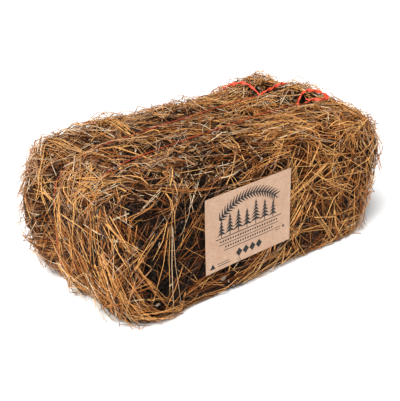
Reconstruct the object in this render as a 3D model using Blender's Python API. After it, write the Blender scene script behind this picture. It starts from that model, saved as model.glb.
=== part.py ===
"""Pine straw bale: one pressed block of pine needles, two lengths of baling twine tied
lengthwise round it, and a plain card laid against its front.

Metres, +Z up, the bale's length along X, its front (the card's side) facing -Y. The origin is
the middle of the flat underside that the bale rests on."""

import math
import random

import bmesh
import bpy
from mathutils import Matrix, Vector, noise
from mathutils.bvhtree import BVHTree

# Driving dimensions of the block.
LENGTH = 0.900
WIDTH = 0.470
HEIGHT = 0.350
EDGE_ROUND = 0.066  # radius of the long edges and of the ends' edges
END_BARREL = 0.022  # how far an end's top and bottom are drawn in: it bulges between them
CORNER_TUCK = 0.012  # how far the upright corners are drawn in beyond that
CORNER_REACH = 0.130
PLAY = 0.006  # what lumps may add to the plain rounded block before it meets its full size
FLOOR_SINK = 0.026  # what the flat underside takes off the rounded block
GAP = 0.0003  # between pieces that touch

# The two ties run lengthwise round the block, each in a plane of its own.
TIE_PLANES = {"back": 0.086, "front": -0.032}
TIE_DRIFT = 0.052  # a tie's right end lies this much further back than its left end
TWINE_RADIUS = 0.0016
FLUFFED_RADIUS = 0.0031  # of the loose ends, where the flat film opens out
TIE_HALF_LENGTH = 0.420
TIE_BOTTOM = TWINE_RADIUS + 0.0012
TIE_TOP = HEIGHT - 0.008
TIE_SQUARENESS = 5.0  # exponent of the superellipse that a taut tie follows
TIE_POINTS = 44
BITE_WIDTH = 0.028  # half-width of the furrow that a tie presses into the straw

# Seams between the pressed charges of straw: place along the length, and depth.
CHARGE_SEAMS = (
    (-0.335, 0.006),
    (-0.240, 0.013),
    (-0.110, 0.006),
    (0.010, 0.006),
    (0.115, 0.010),
    (0.230, 0.007),
    (0.330, 0.010),
)
SEAM_WIDTH = 0.020

# Places where the block is out of true: middle, reach, and how far the straw is moved there.
SWELLS = (
    ((0.385, 0.16, 0.35), 0.13, (0.0, 0.0, 0.018)),
    ((0.43, 0.00, 0.34), 0.09, (0.008, 0.0, 0.009)),
    ((0.11, 0.20, 0.35), 0.14, (0.0, 0.0, -0.005)),
    ((-0.23, 0.20, 0.35), 0.09, (0.0, 0.0, 0.009)),
    ((-0.45, 0.20, 0.13), 0.12, (-0.016, 0.0, 0.0)),
    ((0.45, -0.20, 0.20), 0.13, (0.018, -0.012, 0.0)),
    ((0.45, -0.20, 0.02), 0.09, (-0.014, 0.008, 0.0)),
    ((-0.45, 0.22, 0.34), 0.10, (0.012, 0.0, -0.023)),
    ((-0.45, 0.20, 0.00), 0.11, (0.028, 0.0, 0.028)),
)

# Card: a sheet of thin kraft board.
CARD_WIDTH = 0.2794
CARD_HEIGHT = 0.1960
CARD_THICK = 0.0009
CARD_LEFT = -0.201
CARD_FOOT = 0.083
CARD_LEAN = 1.2  # degrees that the card is turned in its plane
CARD_BACK_Y = -WIDTH / 2 + 0.0045

# Locks: bundles of needles that lie proud on the block, side by side. Each group has a middle
# on the block, the way its locks run, their number, the room between two of them and how far
# they stray from that way, in degrees.
LOCK_GROUPS = (
    ("front_left_top", (-0.31, -0.24, 0.300), (1.0, 0.0, -0.05), 3, 0.030, 5),
    ("front_left_falling", (-0.33, -0.24, 0.205), (1.0, 0.0, -0.60), 3, 0.040, 10),
    ("front_left_rising", (-0.31, -0.24, 0.105), (1.0, 0.0, 0.75), 3, 0.042, 12),
    ("front_left_foot", (-0.35, -0.23, 0.045), (1.0, 0.0, 0.10), 2, 0.034, 8),
    ("front_seam", (-0.245, -0.24, 0.175), (0.18, 0.0, 1.0), 2, 0.034, 8),
    ("front_foot", (-0.06, -0.24, 0.045), (1.0, 0.0, 0.20), 3, 0.027, 14),
    ("front_over_card", (-0.04, -0.23, 0.330), (1.0, 0.0, 0.05), 3, 0.030, 5),
    ("front_right_rising", (0.17, -0.24, 0.170), (0.60, 0.0, 0.80), 4, 0.042, 10),
    ("front_right_end", (0.34, -0.24, 0.170), (0.80, 0.0, -0.45), 4, 0.050, 30),
    ("top_front", (0.10, -0.17, 0.36), (1.0, 0.08, 0.0), 3, 0.036, 7),
    ("top_front_right", (0.31, -0.15, 0.36), (0.9, -0.4, 0.0), 3, 0.042, 18),
    ("top_left_front", (-0.33, -0.14, 0.35), (0.9, -0.35, 0.0), 3, 0.038, 16),
    ("top_left_across", (-0.27, 0.03, 0.36), (0.3, -0.9, 0.0), 3, 0.050, 16),
    ("top_left_back", (-0.30, 0.19, 0.35), (0.9, -0.4, 0.0), 3, 0.036, 16),
    ("top_middle", (0.00, 0.03, 0.36), (0.9, 0.3, 0.0), 3, 0.034, 20),
    ("top_centre_right", (0.17, 0.03, 0.36), (0.8, -0.5, 0.0), 2, 0.040, 20),
    ("top_centre_front", (-0.12, -0.13, 0.36), (0.9, 0.35, 0.0), 3, 0.036, 15),
    ("top_back", (0.05, 0.20, 0.35), (1.0, -0.15, 0.0), 3, 0.040, 16),
    ("top_right", (0.31, 0.04, 0.36), (0.8, 0.5, 0.0), 4, 0.046, 30),
    ("top_right_back", (0.30, 0.20, 0.36), (0.8, -0.4, 0.0), 3, 0.036, 20),
    ("left_back", (-0.44, 0.18, 0.18), (0.0, -0.8, -0.6), 4, 0.048, 10),
    ("left_middle", (-0.44, 0.02, 0.18), (0.0, -0.1, -1.0), 2, 0.036, 6),
    ("left_front", (-0.43, -0.13, 0.18), (0.0, -0.3, -1.0), 3, 0.046, 10),
    ("left_corner", (-0.41, -0.21, 0.13), (0.7, -0.7, 0.1), 3, 0.052, 12),
    ("left_brow", (-0.43, -0.12, 0.30), (0.2, -0.9, 0.3), 2, 0.050, 12),
    ("left_back_brow", (-0.43, 0.18, 0.30), (0.1, -0.9, 0.4), 2, 0.050, 12),
    ("right_end", (0.44, 0.00, 0.18), (0.0, 1.0, 0.35), 5, 0.056, 22),
    ("back_left", (-0.22, 0.24, 0.19), (1.0, 0.0, 0.3), 4, 0.056, 16),
    ("back_right", (0.22, 0.24, 0.17), (1.0, 0.0, -0.3), 4, 0.056, 16),
)
LOCK_LENGTHS = (0.17, 0.25)
LOCK_RADII = (0.013, 0.019)
LOCK_SUNK = 0.40  # share of its radius that a lock's middle lies under the surface
LOCK_STEPS = 4
LOCK_SEED = 11
FACETS_KEPT = 0.52  # share of the facets that stay once the locks are one with the block

MATERIALS = {  # base colour, roughness
    "pine_straw": ((0.26, 0.115, 0.045, 1.0), 0.85),
    "orange_twine": ((0.72, 0.075, 0.025, 1.0), 0.45),
    "kraft_card": ((0.62, 0.42, 0.29, 1.0), 0.90),
}


def clear_scene():
    for obj in list(bpy.data.objects):
        bpy.data.objects.remove(obj, do_unlink=True)


def new_collection(name):
    made = bpy.data.collections.new(name)
    bpy.context.scene.collection.children.link(made)
    return made


def new_material(name):
    colour, roughness = MATERIALS[name]
    made = bpy.data.materials.new(name)
    made.use_nodes = True
    shader = made.node_tree.nodes["Principled BSDF"]
    shader.inputs["Base Color"].default_value = colour
    shader.inputs["Roughness"].default_value = roughness
    return made


def new_object(name, data, collection, material=None):
    obj = bpy.data.objects.new(name, data)
    collection.objects.link(obj)
    if material:
        data.materials.append(material)
    return obj


def as_cutter(obj):
    obj.hide_render = True
    obj.display_type = "WIRE"
    return obj


def smooth_step(value, low, high):
    share = min(1.0, max(0.0, (value - low) / (high - low)))
    return share * share * (3 - 2 * share)


# ---------------------------------------------------------------- the ties' route


def tie_plane(side, x):
    """The Y of a tie's route at this X."""
    return TIE_PLANES[side] + TIE_DRIFT * (x / LENGTH)


def tie_middle():
    return (TIE_TOP + TIE_BOTTOM) / 2


def tie_reach(x, z):
    """1 on the ties' outline, more outside it."""
    half_height = (TIE_TOP - TIE_BOTTOM) / 2
    along = abs(x / TIE_HALF_LENGTH) ** TIE_SQUARENESS
    up = abs((z - tie_middle()) / half_height) ** TIE_SQUARENESS
    return (along + up) ** (1 / TIE_SQUARENESS)


def tie_route(side):
    """Points round the block on the superellipse, evenly spread by angle of the ray to them."""
    points = []
    aspect = (TIE_TOP - TIE_BOTTOM) / 2 / TIE_HALF_LENGTH
    for i in range(TIE_POINTS):
        turn = 2 * math.pi * i / TIE_POINTS
        x, z = math.cos(turn), aspect * math.sin(turn) * (1 + 0.9 * abs(math.cos(turn)))
        scale = 1 / tie_reach(x, tie_middle() + z)
        x, z = x * scale, z * scale
        points.append(Vector((x, tie_plane(side, x), tie_middle() + z)))
    return points


# ---------------------------------------------------------------- the block


def rounded(p):
    """A point of the plain box moved onto the rounded one, and the way out there."""
    half = Vector((LENGTH / 2 - PLAY, WIDTH / 2 - PLAY, (HEIGHT + FLOOR_SINK) / 2))
    middle = Vector((0, 0, (HEIGHT - FLOOR_SINK) / 2))
    local = p - middle
    core = Vector(
        max(-(h - EDGE_ROUND), min(h - EDGE_ROUND, c)) for h, c in zip(half, local)
    )
    out = (local - core).normalized()
    return middle + core + EDGE_ROUND * out, out


def tuck_corners(p):
    """Draws the four upright corners in, because a pressed block is rounder there."""
    near_x = smooth_step(abs(p.x), LENGTH / 2 - CORNER_REACH, LENGTH / 2)
    near_y = smooth_step(abs(p.y), WIDTH / 2 - CORNER_REACH, WIDTH / 2)
    inwards = Vector((-math.copysign(1, p.x), -math.copysign(0.8, p.y), 0))
    return p + CORNER_TUCK * near_x * near_y * inwards


def bulge_ends(p):
    """Draws in the top and the bottom of both ends, which leaves them barrelled."""
    near_x = smooth_step(abs(p.x), LENGTH / 2 - CORNER_REACH, LENGTH / 2)
    rise = (p.z - HEIGHT / 2) / (HEIGHT / 2)
    return p - Vector((math.copysign(END_BARREL, p.x) * near_x * rise * rise, 0, 0))


def seam_depth(x):
    return sum(d * math.exp(-(((x - at) / SEAM_WIDTH) ** 2)) for at, d in CHARGE_SEAMS)


def lumps(p):
    """Height of the straw's large and small lumps at this point."""
    large = noise.noise(p / 0.11 + Vector((3.1, 0.4, 7.7)))
    small = noise.noise(p / 0.047 + Vector((8.3, 5.2, 1.9)))
    return 0.0125 * large + 0.0055 * small


def swell(p):
    """Where the block bulges or sags."""
    moved = p.copy()
    for middle, reach, shift in SWELLS:
        far = (p - Vector(middle)).length / reach
        moved += math.exp(-far * far) * Vector(shift)
    return moved


def bitten(p):
    """The ties press furrows into the block down to their own outline."""
    for side in TIE_PLANES:
        aside = (p.y - tie_plane(side, p.x)) / BITE_WIDTH
        share = math.exp(-aside * aside)
        pull = 1 + share * (min(1.0, 1 / tie_reach(p.x, p.z)) - 1)
        p = Vector((p.x * pull, p.y, tie_middle() + (p.z - tie_middle()) * pull))
    return p


def straw_point(p):
    """A point of the plain box moved to where the pressed straw has its surface."""
    scale = Vector((1 - 2 * PLAY / LENGTH, 1 - 2 * PLAY / WIDTH, 1))
    p, out = rounded(p * scale)
    p = bulge_ends(tuck_corners(p))
    above_floor = smooth_step(p.z, 0.0, 0.07)
    sideways = math.hypot(out.y, out.z)
    p += above_floor * (lumps(p) - sideways * seam_depth(p.x)) * out
    p = bitten(swell(p))
    p.x = max(-LENGTH / 2, min(LENGTH / 2, p.x))
    p.y = max(-WIDTH / 2, min(WIDTH / 2, p.y))
    return p


def stations(half, spacing, extra=()):
    """Where a side of the box is cut: closer together near its ends, where it is rounded."""
    near_edge = [half - d for d in (0.020, 0.045, 0.080)]
    count = max(1, round(2 * near_edge[-1] / spacing))
    across = [near_edge[-1] * (2 * i / count - 1) for i in range(1, count)]
    across = [a for a in across if all(abs(a - e) > spacing / 3 for e in extra)]
    return sorted(across + [s * e for e in near_edge for s in (-1, 1)] + list(extra))


def block_mesh():
    """The block's surface before its locks: a cube cut along its stations and shaped."""
    mesh = bmesh.new()
    size = Vector((LENGTH, WIDTH, HEIGHT + FLOOR_SINK))
    middle = Vector((0, 0, (HEIGHT - FLOOR_SINK) / 2))
    bmesh.ops.create_cube(mesh, size=1.0)
    bmesh.ops.transform(
        mesh,
        matrix=Matrix.Translation(middle) @ Matrix.Diagonal((*size, 1)),
        verts=mesh.verts,
    )
    furrows = [y + d for y in TIE_PLANES.values() for d in (-0.022, 0.0, 0.022)]
    cuts = (
        ((1, 0, 0), stations(size.x / 2, 0.048)),
        ((0, 1, 0), stations(size.y / 2, 0.045, furrows)),
        ((0, 0, 1), [middle.z + z for z in stations(size.z / 2, 0.048)]),
    )
    for normal, places in cuts:
        for at in places:
            bmesh.ops.bisect_plane(
                mesh,
                geom=mesh.verts[:] + mesh.edges[:] + mesh.faces[:],
                plane_co=Vector(normal) * at,
                plane_no=normal,
            )
    for vertex in mesh.verts:
        vertex.co = straw_point(vertex.co)
    bmesh.ops.triangulate(mesh, faces=mesh.faces)
    bmesh.ops.recalc_face_normals(mesh, faces=mesh.faces)
    return mesh


# ---------------------------------------------------------------- curves made solid


def evaluated_mesh(obj):
    """A mesh of the object as its modifiers leave it."""
    bpy.context.view_layer.update()
    depsgraph = bpy.context.evaluated_depsgraph_get()
    return bpy.data.meshes.new_from_object(obj.evaluated_get(depsgraph), depsgraph=depsgraph)


def tube(name, points, radii, collection, closed=False, sides=6):
    """A tube along these points as a mesh object, its caps welded."""
    data = bpy.data.curves.new(name, "CURVE")
    data.dimensions = "3D"
    data.bevel_depth = 1.0
    data.bevel_resolution = (sides - 4) // 2
    data.use_fill_caps = not closed
    spline = data.splines.new("POLY")
    spline.points.add(len(points) - 1)
    for point, place, radius in zip(spline.points, points, radii):
        point.co = (*place, 1)
        point.radius = radius
    spline.use_cyclic_u = closed
    curve = bpy.data.objects.new(name + "_line", data)
    bpy.context.scene.collection.objects.link(curve)
    mesh = evaluated_mesh(curve)
    bpy.data.objects.remove(curve)
    edited = bmesh.new()
    edited.from_mesh(mesh)
    bmesh.ops.remove_doubles(edited, verts=edited.verts, dist=1e-6)
    bmesh.ops.recalc_face_normals(edited, faces=edited.faces)
    edited.to_mesh(mesh)
    edited.free()
    return new_object(name, mesh, collection)


def boolean(obj, kind, other):
    made = obj.modifiers.new(f"{kind.lower()} {other.name}", "BOOLEAN")
    made.operation = kind
    made.solver = "EXACT"
    if isinstance(other, bpy.types.Collection):
        made.operand_type = "COLLECTION"
        made.collection = other
    else:
        made.object = other
    return made


# ---------------------------------------------------------------- locks of needles


def along_surface(tree, start, way, length, steps):
    """Points that follow the block's surface from start, with the way out at each."""
    at, out = tree.find_nearest(start)[:2]
    route = [(at, out)]
    heading = (way - way.dot(out) * out).normalized()
    for _ in range(steps):
        at, out = tree.find_nearest(at + heading * length / steps)[:2]
        heading = (heading - heading.dot(out) * out).normalized()
        route.append((at, out))
    return route


def lock_tubes(tree, collection):
    """Every lock as a tapered tube, half sunk into the block."""
    dice = random.Random(LOCK_SEED)
    for group, middle, way, count, room, stray in LOCK_GROUPS:
        middle = Vector(middle)
        out = tree.find_nearest(middle)[1]
        heading = (Vector(way) - Vector(way).dot(out) * out).normalized()
        across = out.cross(heading)
        for i in range(count):
            aside = room * (i - (count - 1) / 2 + dice.uniform(-0.2, 0.2))
            length = dice.uniform(*LOCK_LENGTHS)
            thick = dice.uniform(*LOCK_RADII)
            turned = Matrix.Rotation(math.radians(dice.gauss(0, stray)), 3, out) @ heading
            start = middle + aside * across + turned * (dice.uniform(-0.03, 0.03) - length / 2)
            points, radii = [], []
            route = along_surface(tree, start, turned, length, LOCK_STEPS)
            for k, (at, up) in enumerate(route):
                bulge = math.sin(math.pi * (k + 0.6) / (LOCK_STEPS + 1.2))
                radii.append(thick * bulge)
                points.append(at - up * LOCK_SUNK * thick * (1.6 - 0.6 * bulge))
            tube(f"lock_{group}_{i}", points, radii, collection)


# ---------------------------------------------------------------- twine


def smooth_route(points, steps):
    """A soft line through these points, with so many steps between each two."""
    ends = [2 * points[0] - points[1], *points, 2 * points[-1] - points[-2]]
    route = []
    for a, b, c, d in zip(ends, ends[1:], ends[2:], ends[3:]):
        for k in range(steps):
            t = k / steps
            route.append(
                0.5
                * (
                    2 * b
                    + (c - a) * t
                    + (2 * a - 5 * b + 4 * c - d) * t * t
                    + (3 * b - a - 3 * c + d) * t * t * t
                )
            )
    return [*route, points[-1]]


# The loose ends, as places on the top: X, Y, and height over the straw.
KNOT_X = {"back": 0.292, "front": 0.322}
LOOSE_ENDS = {
    "back": (
        ((0.286, 0.130, 0.006), (0.274, 0.150, 0.006), (0.253, 0.176, 0.006),
         (0.228, 0.196, 0.006)),
        ((0.297, 0.086, 0.007), (0.330, 0.086, 0.009), (0.362, 0.087, 0.010),
         (0.388, 0.088, 0.018)),
    ),
    "front": (
        ((0.344, -0.006, 0.021), (0.367, -0.001, 0.026), (0.377, -0.022, 0.034),
         (0.379, -0.046, 0.016), (0.373, -0.076, 0.008), (0.353, -0.072, 0.006),
         (0.338, -0.053, 0.006), (0.323, -0.036, 0.003)),
    ),
}
KNOT_RINGS = (  # turns of twine that make the knot: along the tie, tilt in degrees, size
    (-0.0030, 28.0, 0.0034),
    (0.0000, -34.0, 0.0040),
    (0.0030, 22.0, 0.0034),
)
RING_POINTS = 8
KNOT_ROOM = 0.0105  # radius of the hollow that the straw leaves round a knot


def ring_points(at, along, tilt, size):
    """One turn of twine round the tie."""
    lean = Matrix.Rotation(math.radians(tilt), 3, "Z")
    points = []
    for i in range(RING_POINTS):
        t = 2 * math.pi * i / RING_POINTS
        points.append(at + lean @ Vector((along, size * math.cos(t), size * math.sin(t))))
    return points


def tie_top_z(x):
    """Height of a tie's route at this X, on its upper side."""
    half_height = (TIE_TOP - TIE_BOTTOM) / 2
    share = 1 - abs(x / TIE_HALF_LENGTH) ** TIE_SQUARENESS
    return tie_middle() + half_height * share ** (1 / TIE_SQUARENESS)


def knot_place(side):
    x = KNOT_X[side]
    return Vector((x, tie_plane(side, x), tie_top_z(x) + 0.002))


def on_top(tree, x, y, lift):
    """A point this high over the straw's top, and never under it."""
    hit = tree.ray_cast(Vector((x, y, 2 * HEIGHT)), Vector((0, 0, -1)))[0]
    return hit + Vector((0, 0, lift))


def twine_lines(side, tree):
    """(name, points, radii, closed) for the loop, the knot and each loose end of a tie."""
    loop = tie_route(side)
    yield "loop", loop, [TWINE_RADIUS] * len(loop), True
    knot_at = knot_place(side)
    for i, (along, tilt, size) in enumerate(KNOT_RINGS):
        ring = ring_points(knot_at, along, tilt, size)
        yield f"turn_{i}", ring, [1.3 * TWINE_RADIUS] * len(ring), True
    for i, places in enumerate(LOOSE_ENDS[side]):
        free = [on_top(tree, *place) for place in places]
        route = smooth_route([knot_at, *free], 3)
        last = len(route) - 1
        radii = [
            TWINE_RADIUS + (FLUFFED_RADIUS - TWINE_RADIUS) * smooth_step(k, 0, 0.35 * last)
            for k in range(len(route))
        ]
        yield f"end_{i}", route, radii, False


def twine(side, tree, collection, extras, material):
    """One length of twine, its loop joined with its knot and loose ends."""
    name = f"twine_{side}"
    whole = None
    for part, points, radii, closed in twine_lines(side, tree):
        place = collection if whole is None else extras
        made = tube(name if whole is None else f"{name}_{part}", points, radii, place, closed)
        if whole is None:
            whole = made
            whole.data.materials.append(material)
        else:
            boolean(whole, "UNION", as_cutter(made))
    return whole


def furrow_cutters(side, tree, collection):
    """What the straw leaves free for a tie: its lines a gap wider, and room for its knot."""
    for part, points, radii, closed in twine_lines(side, tree):
        if part.startswith("turn"):
            continue
        wide = [radius + 1.5 * GAP for radius in radii]
        yield as_cutter(tube(f"furrow_{side}_{part}", points, wide, collection, closed))
    mesh = bpy.data.meshes.new(f"knot_room_{side}")
    edited = bmesh.new()
    bmesh.ops.create_icosphere(edited, subdivisions=1, radius=KNOT_ROOM)
    edited.to_mesh(mesh)
    edited.free()
    mesh.transform(Matrix.Translation(knot_place(side)))
    yield as_cutter(new_object(mesh.name, mesh, collection))


# ---------------------------------------------------------------- card


def box_object(name, low, high, collection, material=None):
    mesh = bpy.data.meshes.new(name)
    edited = bmesh.new()
    bmesh.ops.create_cube(edited, size=1.0)
    size = [h - l for l, h in zip(low, high)]
    middle = [(h + l) / 2 for l, h in zip(low, high)]
    bmesh.ops.transform(
        edited,
        matrix=Matrix.Translation(middle) @ Matrix.Diagonal((*size, 1)),
        verts=edited.verts,
    )
    edited.to_mesh(mesh)
    edited.free()
    return new_object(name, mesh, collection, material)


def card_plate(name, margin, front, collection, material=None):
    """The card, or the room it needs: a plate that reaches forward to this Y."""
    low = (-CARD_WIDTH / 2 - margin, front, -CARD_HEIGHT / 2 - margin)
    high = (CARD_WIDTH / 2 + margin, CARD_BACK_Y + margin, CARD_HEIGHT / 2 + margin)
    plate = box_object(name, low, high, collection, material)
    middle = Vector((CARD_LEFT + CARD_WIDTH / 2, 0, CARD_FOOT + CARD_HEIGHT / 2))
    lean = Matrix.Rotation(math.radians(-CARD_LEAN), 4, "Y")
    plate.data.transform(Matrix.Translation(middle) @ lean)
    return plate


# ---------------------------------------------------------------- the bale


def build():
    clear_scene()
    bale = new_collection("pine_straw_bale")
    cutters = new_collection("cutters")
    locks = new_collection("locks")
    materials = {name: new_material(name) for name in MATERIALS}

    shaped = block_mesh()
    tree = BVHTree.FromBMesh(shaped)
    mesh = bpy.data.meshes.new("straw_block")
    shaped.to_mesh(mesh)
    shaped.free()
    block = new_object("straw_block", mesh, bale, materials["pine_straw"])

    lock_tubes(tree, locks)
    for lock in locks.objects:
        as_cutter(lock)
    boolean(block, "UNION", locks)
    thinned = block.modifiers.new("fewer facets", "DECIMATE")
    thinned.ratio = FACETS_KEPT
    block.data = evaluated_mesh(block)
    block.modifiers.clear()
    edited = bmesh.new()
    edited.from_mesh(block.data)
    tree = BVHTree.FromBMesh(edited)
    edited.free()

    under = box_object("floor_cut", (-1, -1, -0.2), (1, 1, 0), cutters)
    boolean(block, "DIFFERENCE", as_cutter(under))
    room = card_plate("card_room", GAP, CARD_BACK_Y - 0.1, cutters)
    boolean(block, "DIFFERENCE", as_cutter(room))
    for side in TIE_PLANES:
        twine(side, tree, bale, cutters, materials["orange_twine"])
        for cutter in furrow_cutters(side, tree, cutters):
            boolean(block, "DIFFERENCE", cutter)

    card_plate("card", 0.0, CARD_BACK_Y - CARD_THICK, bale, materials["kraft_card"])


build()
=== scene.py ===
"""Pine straw bale: the needles, twine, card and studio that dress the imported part.

Laid out as an add-on with one panel and run as a script. Metres, +Z up, the bale's length
along X, the card's side facing -Y. The needles are grown along a smoothed copy of the
pressed block, in bundles that run as the straw does in each region."""

import math
from functools import partial

import bpy
import numpy as np
from bpy.props import FloatProperty, FloatVectorProperty, IntProperty, PointerProperty
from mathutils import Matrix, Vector
from mathutils.bvhtree import BVHTree


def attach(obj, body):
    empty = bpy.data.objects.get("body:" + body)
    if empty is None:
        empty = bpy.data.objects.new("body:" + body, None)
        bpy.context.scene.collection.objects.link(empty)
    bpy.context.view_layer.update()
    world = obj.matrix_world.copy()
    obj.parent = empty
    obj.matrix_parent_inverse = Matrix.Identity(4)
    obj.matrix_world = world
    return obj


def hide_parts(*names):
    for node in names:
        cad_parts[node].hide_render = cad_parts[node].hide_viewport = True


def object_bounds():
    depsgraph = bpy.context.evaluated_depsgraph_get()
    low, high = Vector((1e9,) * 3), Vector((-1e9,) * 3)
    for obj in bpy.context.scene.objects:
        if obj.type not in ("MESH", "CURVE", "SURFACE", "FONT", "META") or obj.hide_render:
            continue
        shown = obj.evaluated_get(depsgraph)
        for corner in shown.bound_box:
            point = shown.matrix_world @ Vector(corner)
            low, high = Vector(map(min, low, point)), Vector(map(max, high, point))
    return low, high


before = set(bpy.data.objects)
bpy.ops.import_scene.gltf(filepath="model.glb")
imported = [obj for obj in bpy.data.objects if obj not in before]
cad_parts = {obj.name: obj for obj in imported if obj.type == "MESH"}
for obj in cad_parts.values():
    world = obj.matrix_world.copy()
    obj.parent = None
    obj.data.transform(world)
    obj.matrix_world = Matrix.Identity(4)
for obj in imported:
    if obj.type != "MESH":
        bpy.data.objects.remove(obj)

CAD_BOX = [list(corner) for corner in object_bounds()]

bl_info = {
    "name": "Pine Straw Bale",
    "version": (1, 0, 0),
    "blender": (4, 5, 0),
    "location": "3D View > Sidebar > Straw Bale",
    "description": "A baled block of pine straw, tied with twine, with a plain kraft card",
    "category": "Object",
}


def srgb(code):
    """A colour written as sRGB hex, turned to linear light, with full opacity."""
    parts = (int(code[i : i + 2], 16) / 255 for i in (1, 3, 5))
    return (*(c / 12.92 if c <= 0.04045 else ((c + 0.055) / 1.055) ** 2.4 for c in parts), 1.0)


# ---------------------------------------------------------------- the ties, card and camera

# What the CAD has too is as in the part's source.
TIE_PLANES = {"back": 0.086, "front": -0.032}
TIE_DRIFT = 0.052  # a tie's right end lies this much further back than its left end
BALE_LENGTH = 0.900
BALE_WIDTH = 0.470
BALE_HEIGHT = 0.350
TWINE_RADIUS = 0.0016
TIE_HALF_LENGTH = 0.420
TIE_BOTTOM = TWINE_RADIUS + 0.0012
TIE_TOP = BALE_HEIGHT - 0.008
TIE_MIDDLE = (TIE_TOP + TIE_BOTTOM) / 2
TIE_HALF_HEIGHT = (TIE_TOP - TIE_BOTTOM) / 2
TIE_SQUARENESS = 5.0
KNOT_X = {"back": 0.292, "front": 0.322}
KNOT_RINGS = (  # along the tie, tilt in degrees, size
    (-0.0030, 28.0, 0.0034),
    (0.0000, -34.0, 0.0040),
    (0.0030, 22.0, 0.0034),
)
KNOT_RISE = 0.002  # of a knot's middle over its tie
KNOT_STRAND_SPREAD = 0.0007
KNOT_STRAND_RADIUS = 0.0010
STRAND_PHASES = (0, 2.09, 4.19)  # where a twine's three strands start, in radians
STRAND_SPREAD = 0.00072  # from the twine's middle to a strand's
STRAND_RADIUS = 0.00088
FIBRILS = 9  # side by side in a loose end
FILM_STEP = 0.006  # between the points of a loose end's line
FILM_ROLL = 0.055  # the length in which a loose end rolls over once
FILM_OPENS = 0.3  # of a loose end's length is where its film opens out
FRAY_FROM = 0.88  # of its length is where it starts to fray
LOOSE_END_RISE = 0.003  # of the needles over the pressed block, where a loose end lies on them
LOOSE_ENDS = {  # X, Y and height over the straw of each place that a loose end passes
    "back": (
        ((0.286, 0.13, 0.006), (0.274, 0.15, 0.006), (0.253, 0.176, 0.006),
         (0.228, 0.196, 0.006)),
        ((0.297, 0.086, 0.007), (0.33, 0.086, 0.009), (0.362, 0.087, 0.01),
         (0.388, 0.088, 0.018)),
    ),
    "front": (
        ((0.344, -0.006, 0.021), (0.367, -0.001, 0.026), (0.377, -0.022, 0.034),
         (0.379, -0.046, 0.016), (0.373, -0.076, 0.008), (0.353, -0.072, 0.006),
         (0.338, -0.053, 0.006), (0.323, -0.036, 0.003)),
    ),
}
CARD_WIDTH = 0.2794
CARD_HEIGHT = 0.1960
CARD_THICK = 0.0009
CARD_LEFT = -0.201
CARD_FOOT = 0.083
CARD_LEAN = 1.2  # degrees that the card is turned in its plane
CARD_BACK_Y = -BALE_WIDTH / 2 + 0.0045
INK_SUNK = 0.00008
INK_PROUD = 0.00012
FLOOR_REACH = 40.0
CAMERA_AIM = (0, 0, 0.17)
CAMERA_ASIDE = (-0.0138, -0.0310)  # how far right and up the camera stands from its aim's line


# ---------------------------------------------------------------- the straw's run and sizes

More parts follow.
